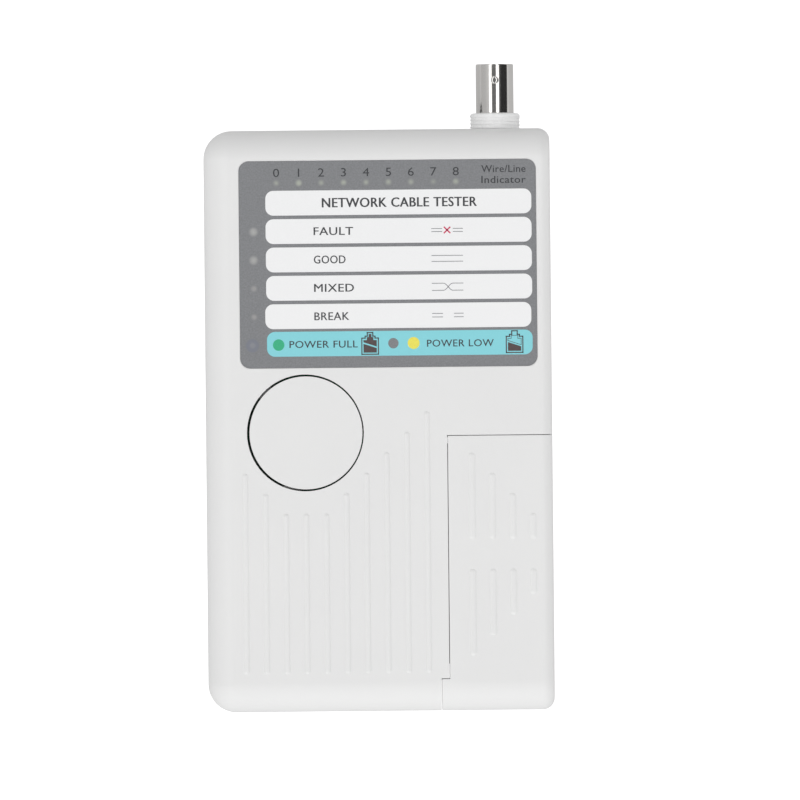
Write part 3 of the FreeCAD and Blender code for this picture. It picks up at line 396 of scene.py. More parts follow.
# %% [markdown]
# ## Softening the moulded pieces
#
# A drawn solid has knife edges. A moulded one never has: every edge carries a small radius that catches a
# line of light. A copy of the drawn mesh is merged, its flat faces are joined, and a Bevel modifier with a
# few segments rounds what is sharp. Smooth shading would bend the light on the flats beside each new edge,
# so a Weighted Normal modifier lets the large faces decide. The copy then stands in for the drawn node and
# rides on its body. The test button gets a wider rim than the case, which makes the dark ring around it
# read as a gap.

# %% Soften a drawn solid
MERGE_WITHIN = 0.0005 * MM
FLAT_WITHIN = math.radians(0.4)
BEVEL_FROM = math.radians(35)
CASE_SHARP_FROM = 11.5


def body_of(node):
    bodies = frame["record"]["behaviour"]["bodies"]
    return [body for body, nodes in bodies.items() if node in nodes][0]


def add_object(name, mesh):
    item = bpy.data.objects.new(name, mesh)
    bpy.context.scene.collection.objects.link(item)
    return item


def set_finish(item, material):
    item.data.materials.clear()
    item.data.materials.append(material)


def shade(mesh, sharp_from):
    """Shade smoothly, apart from edges that turn by more than an angle in degrees."""
    mesh.shade_smooth()
    mesh.set_sharp_from_angle(angle=math.radians(sharp_from))


def stand_in(item, *nodes):
    """Let a finished piece take the place of drawn nodes, on the same body."""
    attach(item, body_of(nodes[0]))
    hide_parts(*nodes)


def soften(node, material, width):
    """A copy of a drawn solid with its sharp edges rounded."""
    mesh = frame["nodes"][node].data.copy()
    work = bmesh.new()
    work.from_mesh(mesh)
    bmesh.ops.remove_doubles(work, verts=work.verts, dist=MERGE_WITHIN)
    bmesh.ops.dissolve_limit(work, angle_limit=FLAT_WITHIN, verts=work.verts, edges=work.edges)
    for layer in list(work.loops.layers.uv):
        work.loops.layers.uv.remove(layer)
    work.to_mesh(mesh)
    work.free()
    if mesh.has_custom_normals:
        mesh.attributes.remove(mesh.attributes["custom_normal"])
    shade(mesh, CASE_SHARP_FROM)
    item = add_object(node + "_piece", mesh)
    set_finish(item, material)
    bevel = item.modifiers.new("soft_edges", "BEVEL")
    bevel.width = width
    bevel.segments = 3
    bevel.limit_method = "ANGLE"
    bevel.angle_limit = BEVEL_FROM
    bevel.use_clamp_overlap = True
    steady = item.modifiers.new("flat_faces_stay_flat", "WEIGHTED_NORMAL")
    steady.mode = "FACE_AREA"
    steady.weight = 60
    steady.keep_sharp = True
    stand_in(item, node)
    return item


MOULDED = {
    "front_shell": (case_white, 0.14), "rear_shell": (case_white, 0.14),
    "remote_front_shell": (case_white, 0.14), "remote_rear_shell": (case_white, 0.14),
    "battery_door": (case_white, 0.14), "button_cap": (case_white, 0.3),
    "lan_socket": (socket_black, 0.15), "phone_socket": (socket_black, 0.15),
    "remote_lan_socket": (socket_black, 0.15), "remote_phone_socket": (socket_black, 0.15),
    "data_socket_core": (insulator_white, 0.08), "remote_data_socket_core": (insulator_white, 0.1),
    "data_socket_shell": (sheet_nickel, 0.06), "remote_data_socket_shell": (sheet_nickel, 0.06),
    "case_screws": (zinc_steel, 0.1), "remote_case_screws": (zinc_steel, 0.1),
    "board_screws": (zinc_steel, 0.08), "remote_board_screws": (zinc_steel, 0.08),
    "switch_base": (switch_black, 0.12), "switch_plunger": (switch_black, 0.12),
    "controller_chip": (chip_black, 0.15), "battery_snap": (snap_black, 0.5),
    "battery_terminals": (sheet_nickel, 0.3), "crystal": (sheet_nickel, 0.5),
    "capacitors": (capacitor_sleeve, 0.3), "resistors": (resistor_tan, 0.4),
    "remote_resistors": (resistor_tan, 0.3),
}
for node, (material, width) in MOULDED.items():
    piece = soften(node, material, width * MM)
    print(piece.name, len(piece.data.polygons), "faces before rounding")

# %% Finishes on nodes that keep their drawn shape
KEPT = {
    "front_label": film_grey, "main_board": board_green, "remote_board": board_green,
    "wire_lamps": lamp_green, "condition_lamps": lamp_red, "battery_lamp": lamp_green,
    "lamp_leads": bright_tin, "chip_legs": bright_tin, "data_contacts": contact_gold,
    "remote_data_contacts": contact_gold, "coax_insulator": insulator_white,
    "coax_centre_contact": contact_gold, "battery_block": battery_jacket,
    "battery_lead_red": lead_red_skin, "battery_lead_black": lead_black_skin,
}
for node, material in KEPT.items():
    set_finish(frame["nodes"][node], material)
print(len(KEPT), "nodes keep their drawn shape")

# %% [markdown]
# ## Round pieces
#
# The metal barrel and the nose of the jack are bodies of revolution. Each is half a section,
# a short list of radius and height pairs, carried round an axis in many small steps. A ring of points for
# each corner and a quad between neighbours gives clean, even faces that reflect in straight lines.

# %% A lathe
ON_AXIS = 1e-7
ROUND_SHARP_FROM = 28
Z_TO_Y = Matrix.Rotation(math.radians(-90), 4, "X")


def mesh_of(work, name):
    """Close an edit and keep its result as a named mesh."""
    mesh = bpy.data.meshes.new(name)
    work.to_mesh(mesh)
    work.free()
    return mesh


def lathe(name, section, centre, along="z", steps=128):
    """Turn a section of (radius, height) points round an axis through a centre."""
    work = bmesh.new()
    rings = []
    for radius, height in section:
        if radius < ON_AXIS:
            rings.append([work.verts.new((0, 0, height))])
            continue
        turns = [2 * math.pi * step / steps for step in range(steps)]
        rings.append([work.verts.new((radius * math.cos(t), radius * math.sin(t), height)) for t in turns])
    pairs = list(zip(rings, rings[1:]))
    if section[0][0] > ON_AXIS and section[-1][0] > ON_AXIS:
        pairs.append((rings[-1], rings[0]))
    for low, high in pairs:
        for step in range(steps):
            after = (step + 1) % steps
            corners = [low[step % len(low)], low[after % len(low)],
                       high[after % len(high)], high[step % len(high)]]
            unique = list(dict.fromkeys(corners))
            if len(unique) > 2:
                work.faces.new(unique)
    bmesh.ops.recalc_face_normals(work, faces=work.faces)
    mesh = mesh_of(work, name)
    if along == "y":
        mesh.transform(Z_TO_Y)
    mesh.transform(Matrix.Translation(centre))
    shade(mesh, ROUND_SHARP_FROM)
    return add_object(name, mesh)


def rounded(corner_in, corner, corner_out, radius, count):
    """Points of a smooth curve that rounds one corner of a section."""
    start = Vector(corner) + (Vector(corner_in) - Vector(corner)).normalized() * radius
    end = Vector(corner) + (Vector(corner_out) - Vector(corner)).normalized() * radius
    points = []
    for step in range(count + 1):
        share = step / count
        near = start.lerp(Vector(corner), share)
        far = Vector(corner).lerp(end, share)
        points.append(tuple(near.lerp(far, share)))
    return points


# %% [markdown]
# ## The coaxial jack
#
# The jack is two pieces that show: a nickel barrel that the plug's collar turns on, and a white plastic
# nose that comes through the case. The barrel has a rolled rim and two lugs. The nose carries a real
# thread, which is a helix, and no stack of rings gives the lean of its ridges. Geometry Nodes wind it: a
# spiral curve with a small circle swept along it. The same tree winds the spring in the push switch.

# %% Winding tree

def start_tree(name, **sizes):
    """A tree that gives geometry, with a named input for each size and one for the finish."""
    tree = bpy.data.node_groups.new(name, "GeometryNodeTree")
    tree.interface.new_socket("Geometry", in_out="OUTPUT", socket_type="NodeSocketGeometry")
    for size, kind in {**sizes, "Finish": "Material"}.items():
        tree.interface.new_socket(size.replace("_", " "), in_out="INPUT", socket_type="NodeSocket" + kind)
    return tree, tree.nodes.new("NodeGroupInput").outputs


def finish_tree(tree, source, sizes):
    """End a tree the same way each time: real geometry with its own material."""
    real = add_node(tree, "GeometryNodeRealizeInstances", source)
    finish = add_node(tree, "GeometryNodeSetMaterial", Geometry=real, Material=sizes["Finish"])
    add_node(tree, "NodeGroupOutput", finish)


def grow(name, tree, **sizes):
    """Run a tree with its inputs set and keep the result as a plain mesh."""
    host = add_object(name, bpy.data.meshes.new(name + "_host"))
    modifier = host.modifiers.new("nodes", "NODES")
    modifier.node_group = tree
    for socket in tree.interface.items_tree:
        if socket.in_out == "INPUT":
            modifier[socket.identifier] = sizes[socket.name.replace(" ", "_")]
    graph = bpy.context.evaluated_depsgraph_get()
    graph.update()
    mesh = bpy.data.meshes.new_from_object(host.evaluated_get(graph))
    host.modifiers.remove(modifier)
    host.data = mesh
    mesh.name = name
    return host


def sweep(tree, path, radius, sides):
    """A wire along a curve, with closed ends."""
    section = add_node(tree, "GeometryNodeCurvePrimitiveCircle", Resolution=sides, Radius=radius)
    return add_node(tree, "GeometryNodeCurveToMesh", Curve=path, Profile_Curve=section, Fill_Caps=True)


def winding_tree():
    tree, sizes = start_tree("winding", Radius="Float", Turns="Float", Rise="Float", Wire_Radius="Float",
                             Wire_Sides="Int", Steps="Int")
    spiral = add_node(tree, "GeometryNodeCurveSpiral", Start_Radius=sizes["Radius"],
                      End_Radius=sizes["Radius"], Rotations=sizes["Turns"], Height=sizes["Rise"],
                      Resolution=sizes["Steps"])
    finish_tree(tree, sweep(tree, spiral, sizes["Wire Radius"], sizes["Wire Sides"]), sizes)
    return tree


winding = winding_tree()


def wind(name, radius, turns, rise, wire, sides, steps, finish):
    return grow(name, winding, Radius=radius, Turns=turns, Rise=rise, Wire_Radius=wire, Wire_Sides=sides,
                Steps=steps, Finish=finish)


# %% Switch spring


def make_switch_spring():
    low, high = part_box("switch_spring")
    wire = 0.12 * MM
    radius = (high.x - low.x) / 2 - wire
    spring = wind("switch_spring_coil", radius, 3.0, high.z - low.z - 2 * wire, wire, 8, 36, spring_steel)
    spring.data.transform(Matrix.Translation(((low.x + high.x) / 2, (low.y + high.y) / 2, low.z + wire)))
    spring.data.shade_smooth()
    stand_in(spring, "switch_spring")
    return spring


spring = make_switch_spring()
print("spring", len(spring.data.polygons), "faces")

# %% Barrel
barrel_low, barrel_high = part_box("coax_barrel")
barrel_radius = (barrel_high.x - barrel_low.x) / 2
jack_axis = Vector(((barrel_low.x + barrel_high.x) / 2, 0, (barrel_low.z + barrel_high.z) / 2))
case_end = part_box("front_shell")[1].y
NOSE_LENGTH = 4.0 * MM
BARREL_WALL = 0.7 * MM
INSULATOR_HOLE = 2.6 * MM
CUP_FLOOR = 1.5 * MM
LUG_PLACE = 12.4 * MM
LUG_RADIUS = 1.0 * MM


def merge_meshes(name, items):
    """Join several mesh objects into one with a new name and the first one's materials."""
    work = bmesh.new()
    for item in items:
        work.from_mesh(item.data)
    mesh = mesh_of(work, name)
    for material in items[0].data.materials:
        mesh.materials.append(material)
    for item in items:
        bpy.data.objects.remove(item)
    return add_object(name, mesh)


def make_barrel():
    bore = barrel_radius - BARREL_WALL
    rim, foot = barrel_high.y, barrel_low.y
    nose_end = case_end + NOSE_LENGTH
    cup = nose_end + CUP_FLOOR
    inside_nose = barrel_radius - 0.05 * MM
    section = [(INSULATOR_HOLE, foot), (inside_nose, foot), (inside_nose, nose_end - 0.2 * MM),
               (barrel_radius, nose_end)]
    section += rounded((barrel_radius, foot), (barrel_radius, rim), (bore, rim), 0.3 * MM, 5)
    section += rounded((barrel_radius, rim), (bore, rim), (bore, cup), 0.2 * MM, 4)
    section += [(bore, cup), (INSULATOR_HOLE, cup)]
    tube = lathe("tube", section, jack_axis, "y")
    inner = barrel_radius - 0.5 * MM
    reach = (barrel_high.z - barrel_low.z) / 2
    lug_section = [(0, inner), (LUG_RADIUS, inner)]
    lug_section += rounded((LUG_RADIUS, inner), (LUG_RADIUS, reach), (0, reach), 0.6 * MM, 6)
    lug_section.append((0, reach))
    lugs = []
    for side in (0, 180):
        lug = lathe(f"lug{side}", lug_section, (0, 0, 0), "z", 32)
        lug.data.transform(Matrix.Rotation(math.radians(side), 4, "Y"))
        lug.data.transform(Matrix.Translation((jack_axis.x, case_end + LUG_PLACE, jack_axis.z)))
        lugs.append(lug)
    set_finish(tube, turned_nickel)
    whole = merge_meshes("jack_barrel_and_lugs", [tube] + lugs)
    shade(whole.data, ROUND_SHARP_FROM)
    stand_in(whole, "coax_barrel")
    return whole


barrel = make_barrel()
print("barrel", round(barrel.dimensions.y / MM, 1), "mm long")

# %% Nose and block
THREAD_CREST = 6.35 * MM
THREAD_ROOT = 6.14 * MM
THREAD_TURNS = 3.4
THREAD_PITCH = 0.907 * MM
NOSE_SHARP_FROM = 32


def make_nose():
    low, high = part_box("coax_jack_body")
    hidden = case_end - 6.2 * MM
    shoulder = high.y - 1.05 * MM
    section = [(barrel_radius, hidden), (THREAD_CREST, hidden), (THREAD_CREST, case_end - 0.3 * MM),
               (THREAD_ROOT, case_end - 0.1 * MM), (THREAD_ROOT, shoulder),
               (THREAD_CREST - 0.12 * MM, shoulder + 0.08 * MM)]
    section += rounded((THREAD_CREST, shoulder), (THREAD_CREST, high.y), (barrel_radius, high.y), 1.0 * MM, 8)
    section += [(barrel_radius, high.y)]
    nose = lathe("nose", section, jack_axis, "y")
    set_finish(nose, nose_white)
    ridge = wind("nose_thread", THREAD_ROOT - 0.06 * MM, THREAD_TURNS, THREAD_TURNS * THREAD_PITCH,
                 0.26 * MM, 8, 72, nose_white)
    ridge.data.transform(Z_TO_Y)
    ridge.data.transform(Matrix.Translation((jack_axis.x, case_end + 0.05 * MM, jack_axis.z)))
    block_end = hidden + 3.9 * MM
    work = bmesh.new()
    bmesh.ops.create_cube(work, size=1.0)
    bmesh.ops.scale(work, vec=(high.x - low.x, block_end - low.y, high.z - low.z), verts=work.verts)
    bmesh.ops.bevel(work, geom=work.edges, offset=0.4 * MM, segments=3, affect="EDGES")
    block_middle = ((low.x + high.x) / 2, (low.y + block_end) / 2, (low.z + high.z) / 2)
    bmesh.ops.translate(work, vec=block_middle, verts=work.verts)
    block = add_object("nose_block", mesh_of(work, "nose_block"))
    whole = merge_meshes("jack_nose_and_block", [nose, ridge, block])
    shade(whole.data, NOSE_SHARP_FROM)
    stand_in(whole, "coax_jack_body")
    return whole


nose = make_nose()
print("nose", len(nose.data.polygons), "faces")

# %% [markdown]
# ## The printed panel
#
# The panel is a thin film in a shallow bed, and everything on it is ink a few hundredths of a millimetre
# thick. Such prints are best made as very thin plates, one for each colour, because each plate then has a
# true edge and its own finish, and can be read from any side. Plates need sizes and places in the plane
# only, so each shape below is an outline, and one function lays a list of outlines down as one mesh.

# %% Flat outlines
PRINT_HEIGHT = 0.02 * MM
film_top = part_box("front_label")[1].z


def disc(x, y, radius, corners=40):
    turns = [math.radians(360 * step / corners) for step in range(corners)]
    return [(x + radius * math.cos(t), y + radius * math.sin(t)) for t in turns]


def stroke(start, end, width):
    """A straight line of a given width, as four points."""
    (x1, y1), (x2, y2) = start, end
    length = math.hypot(x2 - x1, y2 - y1)
    across = ((y1 - y2) / length * width / 2, (x2 - x1) / length * width / 2)
    return [(x1 + across[0], y1 + across[1]), (x1 - across[0], y1 - across[1]),
            (x2 - across[0], y2 - across[1]), (x2 + across[0], y2 + across[1])]


def turn_up(face):
    face.normal_update()
    if face.normal.z < 0:
        face.normal_flip()


def thicken(work, faces, keep_floor):
    """Raise flat faces by the thickness of a print."""
    lifted = bmesh.ops.extrude_face_region(work, geom=faces, use_keep_orig=keep_floor)
    raised = [item for item in lifted["geom"] if isinstance(item, bmesh.types.BMVert)]
    bmesh.ops.translate(work, vec=(0, 0, PRINT_HEIGHT), verts=raised)


def on_label(item):
    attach(item, "main_unit")
    return item


def keep_print(work, name, ink):
    """Close a print and give it its ink."""
    bmesh.ops.recalc_face_normals(work, faces=work.faces)
    item = add_object(name, mesh_of(work, name))
    set_finish(item, ink)
    return on_label(item)


def lay_ink(name, outlines, ink):
    """One thin plate for each outline, all in one print that lies on the bars."""
    work = bmesh.new()
    for outline in outlines:
        face = work.faces.new([work.verts.new((x * MM, y * MM, film_top + PRINT_HEIGHT)) for x, y in outline])
        turn_up(face)
        thicken(work, [face], False)
    return keep_print(work, name, ink)


# %% [markdown]
# The white and teal bars hold the words. They stand in a column, so a small Geometry Nodes tree makes them:
# a rounded rectangle, filled, repeated down the panel at an even pitch and given its thickness. The last
# white bar was printed a little to the left, so it is laid down by itself.

# %% Bars
BAR_LEFT = -28.3
BAR_RIGHT = 39.2
BAR_HEIGHT = 6.3
BAR_CORNER = 2.0
BAR_PITCH = 7.2
TOP_BAR = 55.35
TEAL_LEFT = BAR_LEFT + 0.1
TEAL_MIDDLE = 19.55
LAST_BAR_SHIFT = -0.28 * MM
row_middles = [TOP_BAR - BAR_PITCH * row for row in range(5)]


def repeat(tree, shape, count, step):
    """Copies of a shape in a straight row."""
    row = add_node(tree, "GeometryNodeMeshLine", Count=count, Offset=step)
    return add_node(tree, "GeometryNodeInstanceOnPoints", Points=row, Instance=shape)


def bar_tree():
    tree, sizes = start_tree("bars", Width="Float", Height="Float", Corner="Float", Pitch="Float",
                             Thickness="Float", Rows="Int")
    outline = add_node(tree, "GeometryNodeCurvePrimitiveQuadrilateral", mode="RECTANGLE",
                       Width=sizes["Width"], Height=sizes["Height"])
    corner = add_node(tree, "GeometryNodeFilletCurve", mode="POLY", Curve=outline, Count=10,
                      Radius=sizes["Corner"])
    sheet = add_node(tree, "GeometryNodeFillCurve", mode="NGONS", Curve=corner)
    down = add_node(tree, "ShaderNodeCombineXYZ", Y=maths(tree, "MULTIPLY", sizes["Pitch"], -1))
    flat = add_node(tree, "GeometryNodeRealizeInstances", repeat(tree, sheet, sizes["Rows"], down))
    lift = add_node(tree, "GeometryNodeExtrudeMesh", mode="FACES", Mesh=flat,
                    Offset_Scale=sizes["Thickness"])
    finish_tree(tree, lift, sizes)
    return tree


bars_tree = bar_tree()


def make_bars(name, left, middle, rows, ink):
    bars = grow(name, bars_tree, Width=(BAR_RIGHT - left) * MM, Height=BAR_HEIGHT * MM,
                Corner=BAR_CORNER * MM, Pitch=BAR_PITCH * MM, Thickness=PRINT_HEIGHT, Rows=rows, Finish=ink)
    bars.data.transform(Matrix.Translation(((BAR_RIGHT + left) / 2 * MM, middle * MM, film_top)))
    return on_label(bars)


make_bars("white_bars", BAR_LEFT, TOP_BAR, 4, ink_white)
last_bar = make_bars("last_bar", BAR_LEFT, row_middles[4], 1, ink_white)
last_bar.data.transform(Matrix.Translation((LAST_BAR_SHIFT, 0, 0)))
make_bars("teal_bar", TEAL_LEFT, TEAL_MIDDLE, 1, ink_teal)
print("bars at", [round(middle, 1) for middle in row_middles + [TEAL_MIDDLE]])

# %% [markdown]
# Words are Blender text turned into mesh. Each is set to the height of its capitals, then drawn a little
# wider or narrower so that it fills its place on the panel. A bolder word is struck twice, side by side.
# The words are plain ones of our own.

# %% Words


def flat_letters(text, spacing=1.0):
    """Text as a flat mesh, at the font's own size."""
    curve = bpy.data.curves.new("words", "FONT")
    curve.body = text
    curve.space_character = spacing
    curve.resolution_u = 3
    source = add_object("words", curve)
    graph = bpy.context.evaluated_depsgraph_get()
    graph.update()
    mesh = bpy.data.meshes.new_from_object(source.evaluated_get(graph))
    bpy.data.objects.remove(source)
    xs = [vertex.co.x for vertex in mesh.vertices]
    return mesh, min(xs), max(xs)


CAPITAL = max(vertex.co.y for vertex in flat_letters("H")[0].vertices)
EASY_SPACING = 1.06
NARROWEST = 0.86
WIDEST = 1.16
STRIKE_STEP = 0.002 * MM


def letters(text, left, right, middle, height, weight=0.0, flush=False):
    """Flat letters between two X places, struck twice side by side when they need more weight."""
    mesh, low, high = flat_letters(text, EASY_SPACING)
    tall = height * MM / CAPITAL
    wide = tall * min(max((right - left) * MM / (high - low) / tall, NARROWEST), WIDEST)
    mesh.transform(Matrix.Diagonal((wide, tall, 1, 1)))
    start = (left + right) / 2 * MM - (low + high) / 2 * wide
    if flush:
        start = left * MM - low * wide
    strikes = bmesh.new()
    for side in (-1, 1) if weight else (0,):
        shift = Vector((start + side * weight * MM / 2, (middle - height / 2) * MM, side * STRIKE_STEP))
        copy = mesh.copy()
        copy.transform(Matrix.Translation(shift))
        strikes.from_mesh(copy)
        bpy.data.meshes.remove(copy)
    strikes.to_mesh(mesh)
    strikes.free()
    return mesh


def print_words(name, meshes, layer):
    """Give flat letters a thickness and join them as one print, on the film (0) or on a bar (1)."""
    work = bmesh.new()
    for mesh in meshes:
        work.from_mesh(mesh)
        bpy.data.meshes.remove(mesh)
    bmesh.ops.remove_doubles(work, verts=work.verts, dist=MERGE_WITHIN)
    bmesh.ops.dissolve_degenerate(work, dist=MERGE_WITHIN, edges=work.edges)
    for face in work.faces:
        turn_up(face)
    thicken(work, work.faces[:], True)
    bmesh.ops.translate(work, vec=(0, 0, film_top + layer * PRINT_HEIGHT), verts=work.verts)
    return keep_print(work, name, ink_dark)


print("capital letters are", round(CAPITAL, 3), "of the font size")

# %% Words on the bars
TITLE_HEIGHT = 2.35
ROW_WORD_LEFT = -16.1
ROW_WORD_HEIGHT = 1.98
ROW_WORDS = (("FAULT", 10.6), ("GOOD", 8.0), ("MIXED", 10.9), ("BREAK", 8.8))
POWER_HEIGHT = 1.75
print_words("title", [letters("NETWORK CABLE TESTER", -13.9, 25.3, row_middles[0], TITLE_HEIGHT, 0.16)], 1)
print_words("row_words", [letters(word, ROW_WORD_LEFT, ROW_WORD_LEFT + width, middle, ROW_WORD_HEIGHT, 0.07,
                                  flush=True)
                          for (word, width), middle in zip(ROW_WORDS, row_middles[1:])], 1)
print_words("power_words", [letters(word, left, right, TEAL_MIDDLE - 0.1, POWER_HEIGHT, 0.04)
                            for word, left, right in (("POWER FULL", -22.5, -5.2),
                                                      ("POWER LOW", 12.4, 29.3))], 1)

# %% Numbers and words on the film
WIRE_LAMPS = 9
FIRST_WIRE = -25.5
WIRE_PITCH = 5.7
NUMBER_HALF = 0.8
wire_places = [FIRST_WIRE + WIRE_PITCH * number for number in range(WIRE_LAMPS)]
wire_words = [letters(str(number), middle - NUMBER_HALF, middle + NUMBER_HALF, 63.05, 2.1)
              for number, middle in enumerate(wire_places)]
wire_words += [letters(word, 26.6, 37.8, middle, 1.8, 0.05)
               for word, middle in (("Wire/Line", 63.6), ("Indicator", 60.85))]
print_words("wire_words", wire_words, 0)
print(len(ROW_WORDS), "row words and", WIRE_LAMPS, "lamp numbers")

# %% [markdown]
# Four small line drawings show what a row's lamp means: two pairs of lines joined badly, joined well,
# crossed and not joined. They are plain strokes of one width. The red cross is a second colour.

# %% Line drawings
LINE = 0.14
LEFT_END = 13.75
RIGHT_END = 21.75
CROSSING_STEPS = 12


def pair(left, right, middle, gap):
    return [stroke((left, middle + side * gap / 2), (right, middle + side * gap / 2), LINE)
            for side in (-1, 1)]


def parted(middle, gap, left, right):
    """Two lines with an empty stretch between two places."""
    return pair(LEFT_END, left, middle, gap) + pair(right, RIGHT_END, middle, gap)


def crossed(middle, gap, left, right):
    """Two lines that change places between two places."""
    lines = parted(middle, gap, left, right)
    for side in (-1, 1):
        points = []
        for step in range(CROSSING_STEPS + 1):
            share = step / CROSSING_STEPS
            height = side * gap / 2 * math.cos(math.pi * share)
            points.append((left + (right - left) * share, middle + height))
        lines += [stroke(start, end, LINE) for start, end in zip(points, points[1:])]
    return lines


drawings = parted(row_middles[1], 0.78, 16.5, 19.2) + pair(LEFT_END, RIGHT_END, row_middles[2], 1.5)
drawings += crossed(row_middles[3], 1.8, 16.7, 19.1) + parted(row_middles[4], 0.9, 16.5, 19.3)
lay_ink("line_drawings", drawings, ink_line)

CROSS_MIDDLE = 17.75
CROSS_REACH = 0.82
CROSS_WIDTH = 0.34
cross = [stroke((CROSS_MIDDLE - CROSS_REACH, row_middles[1] - side * CROSS_REACH),
                (CROSS_MIDDLE + CROSS_REACH, row_middles[1] + side * CROSS_REACH), CROSS_WIDTH)
         for side in (-1, 1)]
lay_ink("red_cross", cross, ink_red)
print(len(drawings), "thin strokes and", len(cross), "in red")

# %% [markdown]
# The teal bar has three coloured dots and two little pictures of a battery. A battery is an outline with a
# cap, and a filled body with a light slash that cuts it in two. The low one is filled below the slash only.

# %% Dots and batteries
lay_ink("green_dot", [disc(-25.26, TEAL_MIDDLE - 0.2, 1.45)], ink_green)
lay_ink("grey_dot", [disc(3.85, TEAL_MIDDLE, 1.32)], film_grey)
lay_ink("yellow_dot", [disc(8.99, TEAL_MIDDLE, 1.52)], ink_yellow)


def closed_line(points, width):
    """Strokes round a closed outline, each a little long so that the corners are full."""
    lines = []
    for (x1, y1), (x2, y2) in zip(points, points[1:] + points[:1]):
        length = math.hypot(x2 - x1, y2 - y1)
        over = ((x2 - x1) / length * width / 2, (y2 - y1) / length * width / 2)
        lines.append(stroke((x1 - over[0], y1 - over[1]), (x2 + over[0], y2 + over[1]), width))
    return lines


def battery_outline(middle, low):
    """A body with a stepped neck."""
    steps = [(2.1, 0), (2.1, 4.1), (1.25, 4.1), (1.25, 4.6), (0.7, 4.6), (0.7, 5.5)]
    right = [(middle + x, low + y) for x, y in steps]
    return right + [(2 * middle - x, y) for x, y in reversed(right)]


def box_outline(middle, half, low, high):
    return [(middle - half, low), (middle + half, low), (middle + half, high), (middle - half, high)]


def battery_picture(middle, low, full):
    """A battery 4.4 mm wide and 5.6 mm high, cut in two by a light slash."""
    shapes = closed_line(battery_outline(middle, low), 0.27)
    left, right = middle - 1.68, middle + 1.68
    floor, shoulder = low + 0.42, low + 3.58
    slash_left, slash_right = low + 2.85, low + 1.55
    shapes.append([(left, floor), (right, floor), (right, slash_right),
                   (middle, (slash_left + slash_right) / 2 - 0.1), (left, slash_left - 0.2)])
    upper = [(left, slash_left + 0.2), (right, slash_right + 0.4), (right, shoulder), (left, shoulder)]
    neck = box_outline(middle, 0.83, shoulder, low + 4.35)
    if full:
        shapes += [upper, neck, box_outline(middle, 0.35, low + 4.35, low + 5.15)]
    else:
        shapes += closed_line(upper[:3] + neck[1:] + neck[:1] + upper[3:], 0.12)
    return shapes


batteries = battery_picture(-2.05, 16.8, True) + battery_picture(34.6, 16.9, False)
lay_ink("battery_pictures", batteries, ink_brown)
print("print laid down on the film at", round(film_top / MM, 2), "mm")

# %% [markdown]
# ## Lamp windows
#
# Above each lamp the film is clear and slightly frosted, so an unlit lamp shows as a soft pale spot with no
# hard edge. Each spot is a disc whose colour fades from its middle to the grey of the film. The fade is an
# attribute that Geometry Nodes store on the disc's points, so the finish follows the disc wherever it is.
# No two lamps sit at quite the same depth, so a seeded random number makes some spots weaker than others.

# %% Window finish


def window_finish(name, stops):
    """Film whose colour changes from a window's rim, at 0, to its middle, at 1, with a cloudy edge."""
    material = screen_print(name, FILM)
    tree = material.node_tree
    fade = add_node(tree, "ShaderNodeAttribute", attribute_name="fade").outputs["Fac"]
    cloud = maths(tree, "MULTIPLY_ADD", noise(tree, 1300), 0.5, 0.75)
    ramp = add_node(tree, "ShaderNodeValToRGB", maths(tree, "MULTIPLY", fade, cloud))
    ramp.color_ramp.interpolation = "EASE"
    ramp_stops(ramp, [(0.0, FILM)] + stops)
    set_up(tree, tree.nodes["Principled BSDF"], Base_Color=ramp)
    return material


wire_window = window_finish("wire_window", [(0.85, (0.38, 0.40, 0.35)), (1.0, (0.42, 0.44, 0.38))])
state_window = window_finish("state_window", [(0.75, (0.37, 0.37, 0.365)), (1.0, (0.41, 0.41, 0.405))])
dim_window = window_finish("dim_window", [(0.8, (0.315, 0.31, 0.31)), (1.0, (0.33, 0.32, 0.32))])
blue_window = window_finish("blue_window", [(0.22, (0.19, 0.20, 0.235)), (0.45, (0.195, 0.205, 0.245)),
                                            (0.75, (0.23, 0.24, 0.265)), (1.0, (0.24, 0.25, 0.27))])

# %% Window tree


def store(tree, geometry, name, value, domain):
    return add_node(tree, "GeometryNodeStoreNamedAttribute", data_type="FLOAT", domain=domain,
                    Geometry=geometry, Name=name, Value=value)


def stored(tree, name):
    return add_node(tree, "GeometryNodeInputNamedAttribute", data_type="FLOAT", Name=name)


def window_tree():
    """A row of discs: each has a fade from rim to middle, weakened by the disc's own random number."""
    tree, sizes = start_tree("windows", Radius="Float", Pitch_X="Float", Pitch_Y="Float", Height="Float",
                             Weakest="Float", Seed="Int", Count="Int")
    rim = add_node(tree, "GeometryNodeMeshCircle", fill_type="TRIANGLE_FAN", Vertices=32,
                   Radius=sizes["Radius"])
    where = add_node(tree, "GeometryNodeInputPosition")
    away = add_node(tree, "ShaderNodeVectorMath", where, operation="LENGTH")
    share = maths(tree, "DIVIDE", away.outputs["Value"], sizes["Radius"])
    window = store(tree, rim, "fade", maths(tree, "SUBTRACT", 1, share), "POINT")
    step = add_node(tree, "ShaderNodeCombineXYZ", sizes["Pitch X"], sizes["Pitch Y"])
    copies = repeat(tree, window, sizes["Count"], step)
    chance = add_node(tree, "FunctionNodeRandomValue", data_type="FLOAT", Min=sizes["Weakest"],
                      Seed=sizes["Seed"])
    lamps = store(tree, copies, "lamp", chance, "INSTANCE")
    flat = add_node(tree, "GeometryNodeRealizeInstances", lamps)
    weaker = maths(tree, "MULTIPLY", stored(tree, "fade"), stored(tree, "lamp"))
    faded = store(tree, flat, "fade", weaker, "POINT")
    lift = add_node(tree, "GeometryNodeExtrudeMesh", mode="FACES", Individual=False, Mesh=faded,
                    Offset_Scale=sizes["Height"])
    finish_tree(tree, lift, sizes)
    return tree


windows_tree = window_tree()
STATE_COLUMN = -31.4
DOWN_A_ROW = (0, -BAR_PITCH)


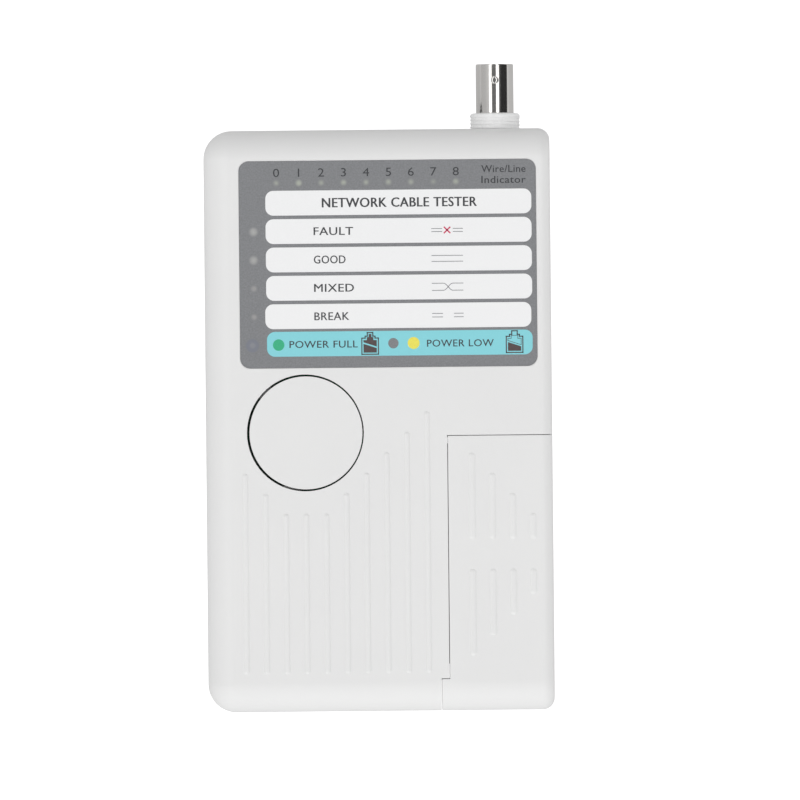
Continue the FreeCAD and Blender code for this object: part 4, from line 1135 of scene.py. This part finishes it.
def make_windows(name, first, step, count, radius, finish, weakest=0.9, seed=3):
    windows = grow(name, windows_tree, Radius=radius * MM, Pitch_X=step[0] * MM, Pitch_Y=step[1] * MM,
                   Height=PRINT_HEIGHT, Weakest=weakest, Seed=seed, Count=count, Finish=finish)
    windows.data.transform(Matrix.Translation((first[0] * MM, first[1] * MM, film_top)))
    windows.data.shade_flat()
    return on_label(windows)


make_windows("wire_windows", (FIRST_WIRE, 60.45), (WIRE_PITCH, 0), WIRE_LAMPS, 1.15, wire_window, 0.2, 5)
make_windows("state_windows", (STATE_COLUMN, 48.1), DOWN_A_ROW, 2, 1.5, state_window, 0.75)
make_windows("dim_windows", (STATE_COLUMN, 33.7), DOWN_A_ROW, 2, 1.1, dim_window, 0.7)
make_windows("power_window", (-31.9, 19.25), DOWN_A_ROW, 1, 1.9, blue_window)
print("lamp windows made")

# %% [markdown]
# ## Contacts in the modular sockets
#
# Each socket holds a row of gold spring wires. They leave the roof just behind the mouth, bend over and
# slope down into the socket. One smooth wire repeated at the contact pitch makes them, again with a tree.

# %% Contact wires
CONTACT_RADIUS = 0.22 * MM
BEND_SHARE = 0.22


def wire_tree():
    tree, sizes = start_tree("contact_wires", Pitch="Vector", Count="Int", Start="Vector", Bend="Vector",
                             End="Vector", Radius="Float")
    curve = add_node(tree, "GeometryNodeCurvePrimitiveBezierSegment", mode="POSITION", Resolution=14,
                     Start=sizes["Start"], Start_Handle=sizes["Bend"], End_Handle=sizes["Bend"],
                     End=sizes["End"])
    wire = sweep(tree, curve, sizes["Radius"], 8)
    finish_tree(tree, repeat(tree, wire, sizes["Count"], sizes["Pitch"]), sizes)
    return tree


contact_tree = wire_tree()


def contact_row(node, count):
    """Round wires in the space of the drawn contacts, from the roof at the mouth down and inwards."""
    low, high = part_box(node)
    faces_right = node.startswith("remote")
    across = Vector((0, 1, 0)) if faces_right else Vector((1, 0, 0))
    inward = Vector((-1, 0, 0)) if faces_right else Vector((0, -1, 0))
    mouth = Vector((high.x, low.y, 0)) if faces_right else Vector((low.x, high.y, 0))
    mouth += (across + inward) * CONTACT_RADIUS
    size = high - low
    depth = abs(size.dot(inward)) - 2 * CONTACT_RADIUS
    roof = mouth + Vector((0, 0, high.z - CONTACT_RADIUS))
    floor = mouth + Vector((0, 0, low.z + CONTACT_RADIUS))
    wires = grow(node + "_wires", contact_tree, Count=count, Radius=CONTACT_RADIUS, Finish=contact_gold,
                 Pitch=across * ((size.dot(across) - 2 * CONTACT_RADIUS) / (count - 1)),
                 Start=roof, Bend=roof + inward * depth * BEND_SHARE, End=floor + inward * depth)
    shade(wires.data, 40)
    stand_in(wires, node)
    return wires


for node, count in (("lan_contacts", 8), ("phone_contacts", 6), ("remote_lan_contacts", 8),
                    ("remote_phone_contacts", 6)):
    wires = contact_row(node, count)
    print(wires.name, [round(value / MM, 1) for value in wires.dimensions])
